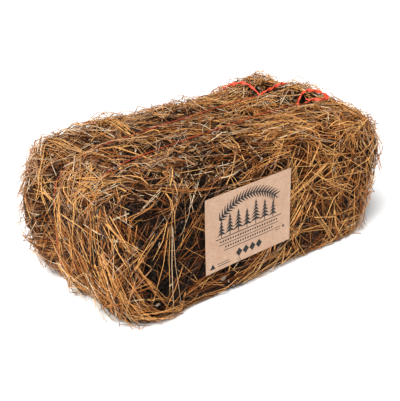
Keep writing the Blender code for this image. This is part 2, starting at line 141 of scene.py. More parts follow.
# How the straw runs: middle of each region, way, stray in degrees, bends (1/m), how much lighter
# than the rest, share of dull needles, and how strongly the region draws needles. The lightness is
# partly the straw's own random tone and partly painted shade: the regions left of the card and
# above it are made darker for the shade in the hollow there.
STRAW_FLOW = (
    # the card's side, left of the card: darker, as painted shade for the hollow there
    ((-0.42, -0.235, 0.31), (1, 0, -0.9), 10, 3, -0.42, 0.4, 1.1),
    ((-0.32, -0.24, 0.285), (1, 0, -0.42), 8, 3, -0.63, 0.4, 1.3),
    ((-0.22, -0.23, 0.325), (0.8, 0, -0.8), 14, 3.5, -0.6, 0.35, 0.8),
    ((-0.37, -0.24, 0.215), (1, 0, -0.65), 13, 3.2, -0.64, 0.25, 0.9),
    ((-0.37, -0.24, 0.19), (-0.7, 0, -0.72), 13, 3, -0.48, 0.2, 0.8),
    ((-0.255, -0.24, 0.17), (0.55, 0, 0.84), 11, 3, -0.24, 0.04, 1.4),
    ((-0.33, -0.24, 0.12), (1, 0, -0.85), 12, 3.4, -0.45, 0.1, 0.8),
    ((-0.35, -0.24, 0.11), (0.8, 0, 0.6), 13, 3.4, -0.44, 0.2, 0.7),
    ((-0.34, -0.23, 0.035), (1, 0, -0.12), 10, 3, -0.34, 0.15, 1.3),
    ((-0.18, -0.24, 0.045), (1, 0, 0.2), 20, 2.5, -0.1, 0.06, 1.5),
    # above, below and right of the card
    ((-0.06, -0.23, 0.325), (1, 0, 0.02), 6, 1, -0.49, 0.4, 1.5),
    ((0.03, -0.22, 0.32), (1, 0, 0.2), 9, 2, -0.26, 0.35, 1),
    ((0.02, -0.24, 0.045), (1, 0, 0.35), 26, 3, 0.04, 0.25, 1),
    ((0.14, -0.24, 0.23), (0.9, 0, 0.45), 14, 3.8, 0.06, 0.12, 1),
    ((0.12, -0.24, 0.15), (0.62, 0, 0.78), 13, 2.2, 0.06, 0.08, 1.2),
    ((0.17, -0.22, 0.32), (0.7, 0, -0.7), 34, 6.5, -0.04, 0.22, 1),
    ((0.22, -0.24, 0.09), (0.55, 0, -0.85), 18, 3.8, 0.06, 0.08, 1.1),
    ((0.27, -0.24, 0.19), (1, 0, -0.5), 24, 6.8, 0.07, 0.17, 1),
    ((0.36, -0.24, 0.25), (0.6, 0, 0.8), 36, 9, -0.07, 0.22, 0.9),
    ((0.38, -0.23, 0.12), (1, 0, -0.4), 32, 7.5, 0.05, 0.12, 1),
    ((0.31, -0.23, 0.04), (0.6, 0, -0.8), 34, 4.5, 0.05, 0.12, 1),
    # the top
    ((-0.02, -0.15, 0.36), (1, 0.1, 0), 17, 2.7, 0.06, 0.45, 1),
    ((0.15, -0.13, 0.36), (1, 0.18, 0), 31, 5, 0.05, 0.33, 1),
    ((0.32, -0.16, 0.36), (-0.3, -0.95, 0), 44, 7.5, 0.02, 0.28, 1),
    ((-0.22, -0.14, 0.36), (-0.24, -0.97, 0), 21, 2.7, 0.08, 0.6, 1),
    ((-0.35, -0.14, 0.35), (0.8, -0.6, 0), 23, 3.6, 0.1, 0.5, 1),
    ((-0.33, 0.01, 0.36), (0.83, 0.56, 0), 27, 3.6, 0.02, 0.55, 1),
    ((-0.12, 0.03, 0.36), (0.95, 0.3, 0), 31, 4.5, 0.06, 0.5, 1),
    ((0.06, 0.03, 0.36), (0.97, 0.22, 0), 34, 6, 0.05, 0.35, 1),
    ((0.21, 0.02, 0.36), (0.9, -0.35, 0), 46, 7.5, 0.03, 0.28, 1),
    ((0.33, 0.08, 0.36), (0.7, 0.7, 0), 38, 8.1, 0.04, 0.3, 1),
    ((-0.36, 0.15, 0.35), (0.1, -1, 0), 17, 2.7, -0.03, 0.45, 1.2),
    ((-0.19, 0.15, 0.36), (0, -1, 0), 21, 3.6, 0.07, 0.45, 1.1),
    ((0, 0.19, 0.35), (0.8, -0.6, 0), 31, 4.5, 0.07, 0.4, 1),
    ((0.2, 0.19, 0.36), (0.9, 0.3, 0), 33, 6.3, 0.06, 0.28, 1),
    # the left end: the back lobe's straw fans out from the back tie
    ((-0.44, 0.15, 0.31), (0, -1, 0.2), 9, 1.5, -0.06, 0.45, 1.3),
    ((-0.43, 0.06, 0.33), (0, -0.85, -0.53), 12, 1.5, 0.04, 0.4, 1),
    ((-0.44, 0.16, 0.24), (0, -1, -0.15), 11, 2.2, 0.04, 0.45, 1.4),
    ((-0.44, 0.16, 0.18), (0, -1, 0.22), 9, 2.2, 0.04, 0.45, 1.4),
    ((-0.44, 0.16, 0.12), (0, -0.89, 0.45), 8, 1.5, 0.03, 0.4, 1.4),
    ((-0.43, 0.15, 0.06), (0, -0.75, 0.65), 9, 1.5, 0.06, 0.3, 1.3),
    ((-0.44, -0.01, 0.29), (0, 0.1, -1), 24, 1.5, 0.06, 0.5, 1),
    ((-0.44, -0.01, 0.19), (0, -0.5, -0.87), 23, 2, 0.32, 0.35, 1.3),
    ((-0.44, -0.04, 0.09), (0, -0.6, -0.8), 9, 2.5, 0.3, 0.2, 1.2),
    ((-0.43, -0.15, 0.3), (0.1, -0.6, -0.8), 26, 2.5, 0.15, 0.4, 1),
    ((-0.43, -0.17, 0.19), (0.2, -0.3, -0.95), 24, 2.5, 0.03, 0.2, 1.2),
    ((-0.42, -0.19, 0.09), (0.4, -0.4, -0.85), 19, 3, 0.05, 0.15, 1.4),
    ((-0.39, -0.2, 0.03), (0.9, -0.4, -0.2), 13, 3, -0.04, 0.15, 1.3),
    # the right end, the back and the underside
    ((0.44, 0.14, 0.2), (0, 1, 0.35), 30, 5.2, 0.03, 0.35, 1),
    ((0.44, 0.02, 0.15), (0, 0.3, -1), 26, 4.5, 0.05, 0.3, 1),
    ((0.44, -0.14, 0.2), (0, 0.9, -0.35), 30, 5.2, 0.03, 0.3, 1),
    ((-0.33, 0.24, 0.22), (1, 0, 0.35), 14, 2, 0.05, 0.3, 1),
    ((-0.15, 0.24, 0.12), (1, 0, -0.5), 14, 2, 0.05, 0.3, 1),
    ((0.05, 0.24, 0.25), (1, 0, 0.1), 12, 1.5, 0.01, 0.4, 1),
    ((0.22, 0.24, 0.13), (0.8, 0, 0.6), 18, 3.8, 0.05, 0.3, 1),
    ((0.36, 0.24, 0.24), (1, 0, -0.45), 26, 5.2, 0.03, 0.35, 1),
    ((0, 0, 0), (1, 0.2, 0), 30, 2, -0.02, 0.35, 1),
)
FLOW_REACH = 0.060  # how far a region's way carries
SKIN_VOXEL = 0.011
SKIN_SMOOTHING = 24  # rounds
SKIN_CELL = 0.045  # of even scatter
CORE_DEPTH = 0.004  # of the core, dark with painted shade, under the layer of needles
SWELL = 0.012  # how far the straw has swelled over the front tie at the left end
SWELL_REACH = 0.025
RISES = (  # where the straw has closed over the ties behind the knots: X, Y, reach, height
    (0.398, 0, 0.03, 0.026),
    (0.402, 0.055, 0.04, 0.012),
    (0.405, 0.105, 0.035, 0.022),
)
EDGE_TURN = 0.12  # how far a way out turns from an axis between a side and an edge
TUFT_REACH = 0.025
TUFTS = (  # where ends stand out like a broom's
    (0.385, 0.17, 0.37),
    (0.43, 0.02, 0.34),
    (0.44, -0.21, 0.12),
    (-0.45, 0.22, 0.16),
    (-0.42, 0.17, 0.05),
    (-0.42, 0.05, 0.07),
    (-0.10, 0.22, 0.35),
)

# Bold bundles that lie across the rest: middle, way, sheaves, width, needle length, bend
# (1/m), how much lighter than the rest.
BOLD_BUNDLES = (
    ((-0.06, -0.2, 0.35), (-0.35, -0.8, -0.5), 4, 0.0092, 0.23, 1, 0.2),
    ((-0.26, -0.23, 0.325), (0.93, 0, -0.38), 5, 0.0207, 0.2, 0.5, 0.1),
    ((-0.325, -0.235, 0.17), (-0.25, 0, -0.97), 5, 0.0138, 0.21, -2.5, 0.1),
    ((-0.34, -0.235, 0.09), (0.57, 0, -0.82), 4, 0.0092, 0.21, 0.3, 0.12),
    ((-0.42, -0.225, 0.225), (0.81, 0, -0.58), 4, 0.0184, 0.2, 0.3, 0.06),
    ((-0.38, -0.235, 0.2), (-0.7, 0, -0.71), 4, 0.0138, 0.2, 0.5, 0.1),
    ((-0.435, -0.2, 0.11), (0.35, -0.35, -0.87), 8, 0.0391, 0.23, 1, 0.08),
    ((-0.3, -0.225, 0.03), (1, 0, -0.05), 8, 0.0276, 0.23, 0.5, 0.1),
    ((0.13, -0.235, 0.225), (0.9, 0, 0.42), 4, 0.0138, 0.15, 0.5, 0.1),
    ((0.115, -0.235, 0.15), (0.62, 0, 0.78), 5, 0.0276, 0.16, 1.5, 0.08),
    ((0.24, -0.235, 0.275), (0.85, 0, -0.52), 6, 0.01035, 0.25, 0.8, 0.14),
    ((0.21, -0.235, 0.09), (0.64, 0, -0.77), 5, 0.0253, 0.17, 1, 0.08),
    ((0.27, -0.235, 0.165), (0.86, 0, -0.52), 5, 0.0161, 0.14, 2, 0.1),
    ((-0.18, 0.13, 0.35), (0, -1, 0), 6, 0.023, 0.18, 0.5, 0.12),
    ((-0.35, 0.12, 0.35), (0, -1, 0), 6, 0.0276, 0.17, 0.5, 0.1),
    ((-0.435, -0.05, 0.28), (0, 0.05, -1), 5, 0.023, 0.17, 0.5, 0.14),
)

# Places along a needle where its mesh has a ring, and the girth there; it has pointed ends.
BENT_RINGS = (
    (0.0, 0.0), (0.02, 1.2), (0.22, 1.05), (0.43, 1.0), (0.64, 0.95), (0.87, 0.75), (1.0, 0.0)
)
STRAIGHT_RINGS = ((0.0, 0.0), (0.03, 1.2), (0.48, 1.0), (0.90, 0.70), (1.0, 0.0))
BROKEN_RINGS = ((0.0, 0.0), (0.04, 1.1), (0.94, 0.8), (1.0, 0.0))
BENT = 1.2  # a needle that turns by more than this in all, in radians, has the most rings
MARCH_STEPS = 8
LOOKS = 4  # how many times a needle is looked at between two steps to make room
ROOM_ROUNDS = 4
PUSH_REACH = 1.6  # steps over which a push fades
MOST_TRIANGLES = 195_000  # in one piece
TONES = 64  # columns of the needles' colour map, dark to light, in each of its two halves
OUTSIDE_LIMIT = np.array((0.030, 0.022, 0.019))  # how far a needle may stand off, along X, Y, Z
NEEDLE_SPACE = np.array((0.033, 0.021, 0.018))  # how far past the CAD's box needles may reach
NEEDLE_FLOOR = 0.0018
CLEARANCE = 0.0022  # from a needle's middle line to the card and the floor
CARD_MARGIN = 0.004  # as far beside the card the needles stay back too
CARD_SLOPE = 0.55  # at which they come forward again
TIE_FURROW = 0.023  # half the width of the furrow that a tie draws in the needles
FURROW_DEPTH = 0.0045  # below the tie, in the furrow's middle
FURROW_RISE = 0.0150  # from the furrow's middle to its edges
SWELLED_LEFT = -0.36  # the X beyond which straw has swelled over the front tie
SWELLED_RIGHT = 0.365  # the X beyond which it has over both, above the next height
SWELLED_TOP = 0.31
TIE_SHARE = 0.985  # of the needles pass under the ties
OVER_SHARE = 0.03  # of the loose needles that cross a tie stay
OUTER_STRAY = 0.45  # of the outermost bundles' ways, in radians
OUTER_SHEAVES = (3.5, 7.5)  # in the outermost bundles, fewest and most
DEEPER_SHEAVES = 9.5  # more in the deepest
BACK_SHARE = 0.45  # of a bundle's length lies behind its middle
OUTERMOST = -0.004  # the depth of the outermost needles
DEPTH_SPREAD = 0.006  # of the needles in one bundle
WAVE = (0.0005, 0.0022)  # how far a needle waves in and out
WAVES = (0.5, 1.3)  # in a needle
HUG = (0.20, 0.60)  # of an outer needle; see march
NEEDLE_SHARES = (0.45, 1.1)  # of the full length
BOLD_CRIMP = 0.3  # 1/m
BOLD_DEPTH = -0.15  # of the layer of needles
BOLD_DULL = 0.08  # share of dull needles
LOOSE_SHARE = 0.25  # of the outer sheaves let an end stand out
LOOSE_RISE = (0.003, 0.020)
BUNDLED_ROUND = 0.45  # of the bundled sheaves lie the other way round
LOOSE_ROUND = 0.3  # of the loose ones do
FULL_SHADE_DEPTH = 0.011  # where a needle's painted shade is as dark as it gets
SHEATH_WIDTH = 0.0006  # the spread of a sheath's needles where they start
SHEATH_PARTING = math.radians(1.3)
SHEATH_LENGTHS = (0.88, 1.04)  # of a sheath's length, that its needles have
GIRTHS = (0.75, 1.20)  # of a needle, times the usual one
LIGHT = 0.89  # of an outer needle in its tones, from 0, the darkest, painted as shade on buried needles, to 1, the lightest
LIGHT_SPREAD = 0.34
PAINTED_DEPTH_SHADE = 1.15  # painted shade: how much darker the deepest needles are made
FLAKE_SIDES = 7
FLAKE_HALVES = (0.004, 0.011)  # half a flake's size, least and most
LARGE_FLAKES = (  # flakes of bark that lie where they are seen: place, and half their size
    ((0.262, -0.225, 0.300), 0.015),
    ((-0.30, -0.235, 0.095), 0.011),
    ((0.02, -0.16, 0.345), 0.008),
    ((-0.43, -0.03, 0.26), 0.009),
)


# ---------------------------------------------------------------- settings

Length = partial(FloatProperty, unit="LENGTH")
Angle = partial(FloatProperty, subtype="ANGLE")
Colour = partial(FloatVectorProperty, subtype="COLOR", size=4, min=0, max=1)


class BaleStrawSettings(bpy.types.PropertyGroup):
    bundles: IntProperty(
        name="Bundles", description="Bundles of needles in the outer layer", default=2060, min=50
    )
    bundle_width: Length(
        name="Bundle width", description="Width of one bundle of needles", default=0.040, min=0.005
    )
    needle_length: Length(
        name="Needle length", description="Length of a whole needle", default=0.215, min=0.05
    )
    needle_radius: Length(
        name="Needle radius", description="Half a needle's thickness", default=0.00072, min=0.0003
    )
    layer_depth: Length(
        name="Layer depth", description="Thickness of the needle layer", default=0.017, min=0.002
    )
    strays: IntProperty(
        name="Strays", description="Single sheaves that cross the bundles", default=680, min=0
    )
    bristles: IntProperty(
        name="Bristles", description="Sheaves of stiff needles that stand off", default=1500, min=0
    )
    arches: IntProperty(
        name="Arches", description="Sheaves that arch over the top's edges", default=520, min=0
    )
    litter: IntProperty(
        name="Litter", description="Sheaves of short broken needles on top", default=800, min=0
    )
    chips: IntProperty(
        name="Chips", description="Flakes of bark caught in the straw", default=110, min=0
    )
    seed: IntProperty(name="Seed", description="Another seed is another bale", default=7, min=0)
    golden: Colour(
        name="Golden needle", description="The lightest fresh-fallen needles",
        default=srgb("#e9b06a"),
    )
    russet: Colour(
        name="Russet needle", description="Most fresh-fallen needles", default=srgb("#a35d27")
    )
    weathered: Colour(
        name="Weathered needle", description="The lightest needles that lay in the sun",
        default=srgb("#e2c9a6"),
    )
    dull: Colour(
        name="Dull needle", description="Most weathered needles", default=srgb("#9a6948")
    )
    # The dark end of the needles' tones and of the core's: mostly painted shade for straw deep in
    # the layer.
    painted_shade_umber: Colour(
        name="Painted shade on buried straw", description="Straw deep between the needles", default=srgb("#170b04")
    )


class BaleTwineSettings(bpy.types.PropertyGroup):
    lay: Length(
        name="Lay", description="Length of one turn of the strands", default=0.020, min=0.004
    )
    film_width: Length(
        name="Film width", description="Width of the loose ends, where the film opens out",
        default=0.0052, min=0.001,
    )
    taut: Colour(
        name="Taut twine", description="The dusty twine round the bale", default=srgb("#b8462c")
    )
    fresh: Colour(
        name="Loose ends", description="The twine's clean loose ends", default=srgb("#ee5233")
    )


class BaleCardSettings(bpy.types.PropertyGroup):
    kraft: Colour(name="Kraft board", description="The card's board", default=srgb("#bf9d84"))
    ink: Colour(name="Ink", description="The printed ornament's ink", default=srgb("#0b0908"))
    bow: Length(name="Bow", description="How far the card's corners lift", default=0.0009, min=0)


class BaleStudioSettings(bpy.types.PropertyGroup):
    azimuth: Angle(
        name="Azimuth", description="Way the camera looks from, round the bale",
        default=math.radians(-40.72),
    )
    elevation: Angle(
        name="Elevation", description="How high the camera stands", default=math.radians(24.62)
    )
    distance: Length(
        name="Distance", description="From the camera to the bale's middle",
        default=2.3943, min=0.5,
    )
    lens: FloatProperty(
        name="Lens", description="Focal length on a 36 mm sensor, in millimetres", default=82.05
    )
    softbox: FloatProperty(
        name="Softbox", description="Strength of the large far softbox", default=5.2, min=0
    )
    softness: Angle(
        name="Softness", description="How wide the softbox looks from the bale",
        default=math.radians(30),
    )
    softbox_way: FloatVectorProperty(
        name="Softbox direction", description="Way from the bale to the softbox",
        subtype="XYZ", default=(-0.72, -0.42, 1.00),
    )
    sky: FloatProperty(
        name="Surround", description="Strength of the white surround", default=0.28, min=0
    )
    sweep: Colour(name="Floor", description="The paper floor", default=srgb("#f7f7f6"))


# ---------------------------------------------------------------- small tools


def unit(vectors):
    return vectors / np.maximum(np.linalg.norm(vectors, axis=-1, keepdims=True), 1e-9)


def dot(a, b):
    return (a * b).sum(-1, keepdims=True)


def rising(value, start, reach):
    """0 up to start, 1 from start + reach on, and a straight rise between them."""
    return np.clip((value - start) / reach, 0, 1)


def add_node(tree, kind, sockets=None, stops=(), **settings):
    """Adds a shader node. sockets maps its inputs to values, to nodes, which give their first
    output, or to outputs; stops are a colour ramp's places and colours, in order."""
    made = tree.nodes.new("ShaderNode" + kind)
    for name, value in settings.items():
        setattr(made, name, value)
    for key, value in (sockets or {}).items():
        if isinstance(value, bpy.types.Node):
            value = value.outputs[0]
        if isinstance(value, bpy.types.NodeSocket):
            tree.links.new(value, made.inputs[key])
        else:
            made.inputs[key].default_value = value
    if stops:
        ramp = made.color_ramp.elements
        for at, colour in stops[1:-1]:
            ramp.new(at).color = colour
        for end in (0, -1):
            ramp[end].position, ramp[end].color = stops[end]
    return made


def new_material(name):
    """A material with an empty tree, and what adds a node to it."""
    made = bpy.data.materials.new(name)
    made.use_nodes = True
    made.node_tree.nodes.clear()
    return made, partial(add_node, made.node_tree)


def mesh_object(name, points, faces, material, maps=None, smooth=True):
    """A mesh object from arrays: points (n, 3), triangles (m, 3), and a UV pair per corner."""
    mesh = bpy.data.meshes.new(name)
    mesh.vertices.add(len(points))
    mesh.vertices.foreach_set("co", np.asarray(points, np.float32).ravel())
    mesh.loops.add(faces.size)
    mesh.loops.foreach_set("vertex_index", faces.astype(np.int32).ravel())
    mesh.polygons.add(len(faces))
    mesh.polygons.foreach_set("loop_start", np.arange(0, faces.size, 3, dtype=np.int32))
    mesh.update(calc_edges=True)
    mesh.polygons.foreach_set("use_smooth", np.full(len(faces), smooth))
    if maps is not None:
        layer = mesh.uv_layers.new(name="OFBake")
        layer.uv.foreach_set("vector", np.asarray(maps, np.float32).ravel())
    mesh.validate()
    mesh.materials.append(material)
    made = bpy.data.objects.new(name, mesh)
    bpy.context.scene.collection.objects.link(made)
    return made


def mesh_array(items, name, kind):
    """Three numbers of each of a mesh's vertices or triangles."""
    values = np.empty((len(items), 3), kind)
    items.foreach_get(name, values.ravel())
    return values


def triangles(*corners):
    """Triangles, from triples that hold their first, second and third corners."""
    return np.concatenate([np.stack(np.broadcast_arrays(*three), 1) for three in corners])


def copied_faces(faces, count, corners):
    """The same faces for each of so many forms with so many corners."""
    return (faces + (np.arange(count) * corners)[:, None, None]).reshape(-1, 3)


def place_piece(piece, slot, *nodes):
    """The piece rides on the bale and stands for these CAD nodes, which are hidden. slot, the name
    of its finish, is not used.
    """
    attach(piece, "root")
    if nodes:
        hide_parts(*nodes)


def tie_plane(side, x):
    """The Y of a tie's route at this X."""
    return TIE_PLANES[side] + TIE_DRIFT * (x / BALE_LENGTH)


def tie_reach(x, z):
    """1 on the ties' outline, more outside it."""
    along = np.abs(x / TIE_HALF_LENGTH) ** TIE_SQUARENESS
    up = np.abs((z - TIE_MIDDLE) / TIE_HALF_HEIGHT) ** TIE_SQUARENESS
    return (along + up) ** (1 / TIE_SQUARENESS)


def tie_top(x):
    """The height of the ties' route over the bale at this X."""
    inside = 1 - abs(x / TIE_HALF_LENGTH) ** TIE_SQUARENESS
    return TIE_MIDDLE + TIE_HALF_HEIGHT * inside ** (1 / TIE_SQUARENESS)


# ---------------------------------------------------------------- materials


def dried_pine_needle(straw):
    """Dead pine needles, dried, raked and baled: a waxy skin gone dull, so a soft broad gloss on
    the outer ones. The map has one half of columns for fresh-fallen needles and one for weathered
    ones, each from a near-black brown to its lightest tone; the dark end is mostly painted shade,
    given to needles buried deep in the layer. Along a column runs a needle from its sheath to its
    tip."""
    made, node = new_material("dried_pine_needle")
    split = node("SeparateXYZ", {0: node("UVMap", uv_map="OFBake")})
    column = node("Math", {0: split, 1: 0.5 / TONES}, operation="SNAP")
    lot = node("TexWhiteNoise", {"W": column}, noise_dimensions="1D")
    weathered = node("Math", {0: split, 1: 0.5}, operation="GREATER_THAN")
    doubled = node("Math", {0: column, 1: 2.0}, operation="MULTIPLY")
    tone = node("Math", {0: doubled}, operation="FRACT")
    fresh, worn = (
        node("ValToRGB", {0: tone}, tuple(zip((0.00, 0.22, 0.48, 0.74, 0.98), colours)))
        for colours in (
            (straw.painted_shade_umber, srgb("#4a260f"), straw.russet, srgb("#cc8a4a"), straw.golden),
            (srgb("#150c07"), srgb("#482a1a"), straw.dull, srgb("#c6956b"), straw.weathered),
        )
    )
    mixed = node("Mix", {0: weathered, 6: fresh, 7: worn}, data_type="RGBA")
    # Mottles 4 to 11 mm long, where the skin has flaked.
    along = node("CombineXYZ", {0: lot, 1: split.outputs[1]})
    mottle = node("TexNoise", {"Vector": along, "Scale": 22.0, "Detail": 2.0})
    mottled = node(
        "MapRange",
        {"Value": mottle, "From Min": 0.3, "From Max": 0.7, "To Min": 0.74, "To Max": 1.16},
    )
    shaded = node("VectorMath", {0: mixed.outputs[2], "Scale": mottled}, operation="SCALE")
    # The sheath that holds two or three needles together is short and dark.
    bare = node("MapRange", {"Value": split.outputs[1], "From Min": 0.035, "From Max": 0.075,
                             "To Min": 1.0, "To Max": 0.0})
    whole = node("Mix", {0: bare, 6: shaded, 7: srgb("#4a3626")}, data_type="RGBA")
    shader = node(
        "BsdfPrincipled",
        {
            "Base Color": whole.outputs[2], "Roughness": 0.50, "IOR": 1.45,
            "Specular IOR Level": 0.22,  # dust on the wax
        },
    )
    node("OutputMaterial", {"Surface": shader})
    return made


def duff_in_painted_shade(straw):
    """The bale's inside: broken needles matted together, with no gloss, coloured near black as
    painted shade for the depth between the needles. It only shows as streaks between the outer
    needles."""
    made, node = new_material("duff_in_painted_shade")
    # Streaks about 5 mm wide and 40 mm long.
    streaks = node(
        "Mapping",
        {
            0: node("TexCoord").outputs["Object"],
            "Scale": (25.0, 180.0, 180.0), "Rotation": (0.0, 0.3, 0.2),
        },
    )
    fibre = node("TexNoise", {"Vector": streaks, "Scale": 1.0, "Detail": 3.0})
    colour = node(
        "ValToRGB", {0: fibre},
        ((0.30, srgb("#0e0703")), (0.75, straw.painted_shade_umber), (0.90, srgb("#4a2c14"))),
    )
    bump = node("Bump", {"Height": fibre, "Distance": 0.004, "Strength": 0.8})
    shader = node(
        "BsdfPrincipled",
        {"Base Color": colour, "Roughness": 0.95, "Specular IOR Level": 0.05, "Normal": bump},
    )
    node("OutputMaterial", {"Surface": shader})
    return made


def flaked_bark():
    """Flakes of pine bark, split by weather: matt, grey outside and brown in the breaks."""
    made, node = new_material("flaked_bark")
    place = node("TexCoord").outputs["Object"]
    layers = node("TexNoise", {"Vector": place, "Scale": 210.0, "Detail": 4.0})  # 5 mm layers
    colour = node(
        "ValToRGB", {0: layers},
        ((0.30, srgb("#3d2c20")), (0.52, srgb("#7d6a58")), (0.72, srgb("#b7ab9b"))),
    )
    bump = node("Bump", {"Height": layers, "Distance": 0.001, "Strength": 0.7})
    shader = node("BsdfPrincipled", {"Base Color": colour, "Roughness": 0.88, "Normal": bump})
    node("OutputMaterial", {"Surface": shader})
    return made


def split_film_twine(name, colour, dust):
    """Baling twine of polypropylene film, split and twisted: a satin plastic gloss along the
    fibrils, and straw dust in their grooves."""
    made, node = new_material(name)
    place = node("TexCoord").outputs["Object"]
    dusty = node("TexNoise", {"Vector": place, "Scale": 95.0, "Detail": 3.0})  # 10 mm patches
    share = node(
        "MapRange", {"Value": dusty, "From Min": 0.40, "From Max": 0.70, "To Max": dust}
    )
    mixed = node("Mix", {0: share, 6: tuple(colour), 7: srgb("#7d4a2a")}, data_type="RGBA")
    fibrils = node("TexNoise", {"Vector": place, "Scale": 900.0, "Detail": 1.0})  # 1 mm fibrils
    bump = node("Bump", {"Height": fibrils, "Distance": 0.0005, "Strength": 0.5})
    shader = node(
        "BsdfPrincipled",
        {"Base Color": mixed.outputs[2], "Roughness": 0.42, "IOR": 1.49, "Normal": bump},
    )
    node("OutputMaterial", {"Surface": shader})
    return made


def kraft_board(card):
    """Unbleached kraft board, machine-smooth: matt, with cloudy pulp and small dark and
    light fibres."""
    made, node = new_material("kraft_board")
    place = node("TexCoord").outputs["Object"]
    pulp = node("TexNoise", {"Vector": place, "Scale": 45.0, "Detail": 3.0})  # 20 mm clouds
    cloudy = node(
        "ValToRGB", {0: pulp},
        ((0.25, srgb("#bd967d")), (0.50, card.kraft), (0.80, srgb("#caa992"))),
    )
    # Real fibres are 0.05 mm wide; these are 0.8 mm by 5 mm so that they show.
    stretched = node(
        "Mapping", {0: place, "Scale": (200.0, 200.0, 1200.0), "Rotation": (0.0, 0.2, 0.0)}
    )
    fibres = node("TexNoise", {"Vector": stretched, "Scale": 1.0, "Detail": 1.0})
    speck = node(
        "ValToRGB", {0: fibres},
        ((0.26, srgb("#b9b0a6")), (0.40, srgb("#f4f2ef")), (0.80, srgb("#ffffff"))),
    )
    tinted = node("Mix", {0: 1.0, 6: cloudy, 7: speck}, data_type="RGBA", blend_type="MULTIPLY")
    bump = node("Bump", {"Height": fibres, "Distance": 0.0002, "Strength": 0.4})
    shader = node(
        "BsdfPrincipled", {"Base Color": tinted.outputs[2], "Roughness": 0.82, "Normal": bump}
    )
    node("OutputMaterial", {"Surface": shader})
    return made


def printed_ink(card):
    """Black ink rolled onto rough board: matt, and a little thin where the board is open."""
    made, node = new_material("printed_ink")
    place = node("TexCoord").outputs["Object"]
    thin = node("TexNoise", {"Vector": place, "Scale": 420.0, "Detail": 2.0})  # 2 mm patches
    colour = node("ValToRGB", {0: thin}, ((0.55, card.ink), (0.90, srgb("#2e251f"))))
    shader = node("BsdfPrincipled", {"Base Color": colour, "Roughness": 0.70})
    node("OutputMaterial", {"Surface": shader})
    return made


def paper_sweep(studio):
    """A roll of matt white background paper: no gloss, and a faint cloud in its white."""
    made, node = new_material("paper_sweep")
    cloud = node("TexNoise", {"Vector": node("TexCoord").outputs["Object"], "Scale": 1.5})
    colour = node(
        "Mix", {0: cloud, 6: tuple(studio.sweep), 7: srgb("#fcfcfb")}, data_type="RGBA"
    )
    shader = node(
        "BsdfPrincipled",
        {"Base Color": colour.outputs[2], "Roughness": 0.95, "Specular IOR Level": 0.1},
    )
    node("OutputMaterial", {"Surface": shader})
    return made


# ---------------------------------------------------------------- the block's skin


def softened_block(name, inwards):
    """A smoothed copy of the pressed block, moved inwards by so much. At the left end the
    straw has swelled over the front tie, and behind the knots over both, so the furrows are
    half filled there."""
    made = bpy.data.objects.new(name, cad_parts["straw_block"].data.copy())
    made.data.materials.clear()
    bpy.context.scene.collection.objects.link(made)
    for kind, settings in (
        ("REMESH", {"mode": "VOXEL", "voxel_size": SKIN_VOXEL}),
        ("SMOOTH", {"factor": 0.5, "iterations": SKIN_SMOOTHING}),
        ("DISPLACE", {"strength": -inwards, "mid_level": 0.0}),
    ):
        modifier = made.modifiers.new(kind.lower(), kind)
        for key, value in settings.items():
            setattr(modifier, key, value)
    bpy.context.view_layer.update()
    depsgraph = bpy.context.evaluated_depsgraph_get()
    mesh = bpy.data.meshes.new_from_object(made.evaluated_get(depsgraph), depsgraph=depsgraph)
    made.modifiers.clear()
    made.data = mesh
    points = mesh_array(mesh.vertices, "co", np.float32)
    x, y, z = points.T
    swelled = SWELL * np.exp(-(((y - tie_plane("front", x)) / SWELL_REACH) ** 2))
    points[:, 0] -= swelled * rising(-x, 0.37, 0.03) * rising(z, 0.03, 0.05)
    near_top = rising(z, 0.29, 0.03)
    for middle_x, middle_y, reach, height in RISES:
        far = ((x - middle_x) ** 2 + (y - middle_y) ** 2) / reach**2
        points[:, 2] += height * np.exp(-far) * near_top
    points[:, 2] = np.maximum(z, 0.004)
    mesh.vertices.foreach_set("co", points.ravel())
    return made


class Skin:
    """The pressed block's smoothed surface, which the needles follow."""

    def __init__(self):
        guide = softened_block("needle_guide", -0.001)
        guide.data.calc_loop_triangles()
        self.points = mesh_array(guide.data.vertices, "co", np.float32)
        self.faces = mesh_array(guide.data.loop_triangles, "vertices", np.int32)
        self.tree = BVHTree.FromPolygons(self.points.tolist(), self.faces.tolist())
        bpy.data.objects.remove(guide)

    def nearest(self, points):
        """The skin's nearest point to each of these, and the way out there."""
        found = [self.tree.find_nearest(point)[:2] for point in np.asarray(points).tolist()]
        return np.array(found).transpose(1, 0, 2)

    def scatter(self, count, dice, liking):
        """Points on the skin, as many on each face as its area and liking ask for, taken
        evenly from one cell of it after the other so that no place stays bare."""
        corners = self.points[self.faces].astype(float)
        normal = np.cross(corners[:, 1] - corners[:, 0], corners[:, 2] - corners[:, 0])
        middle = corners.mean(1)
        weight = np.linalg.norm(normal, axis=1) * liking(middle, unit(normal))
        order = np.lexsort(np.floor(middle / SKIN_CELL).T)
        share = weight[order].cumsum() / weight.sum()
        picks = (np.arange(count) + dice.random(count)) / count
        face = order[np.minimum(np.searchsorted(share, picks), len(order) - 1)]
        a, b = dice.random((2, count, 1))
        over = a + b > 1
        a, b = np.where(over, 1 - a, a), np.where(over, 1 - b, b)
        one, two, three = corners[face].transpose(1, 0, 2)
        return one + a * (two - one) + b * (three - one), unit(normal[face])


# Where straw of each kind lies: a weight for each of these places on the skin, by its way out.


def on_fans(x, y):
    """Whether it is on the left end's back lobe, where the straw lies in short fans."""
    return (x < -0.41) & (y > 0.04)


def all_round(at, out):
    """Little straw underneath, where it isn't seen, and more in the hollow left of the card
    and on the fans."""
    x, y = at.T[:2]
    lobe = (x < -0.37) & (y < 0.03)
    hollow = (y < -0.17) & (x < -0.15) & (x > -0.33)
    hidden = out[:, 2] < -0.7
    return np.select((hidden, on_fans(x, y), lobe, hollow), (0.25, 1.7, 0.8, 1.3), 1.0)


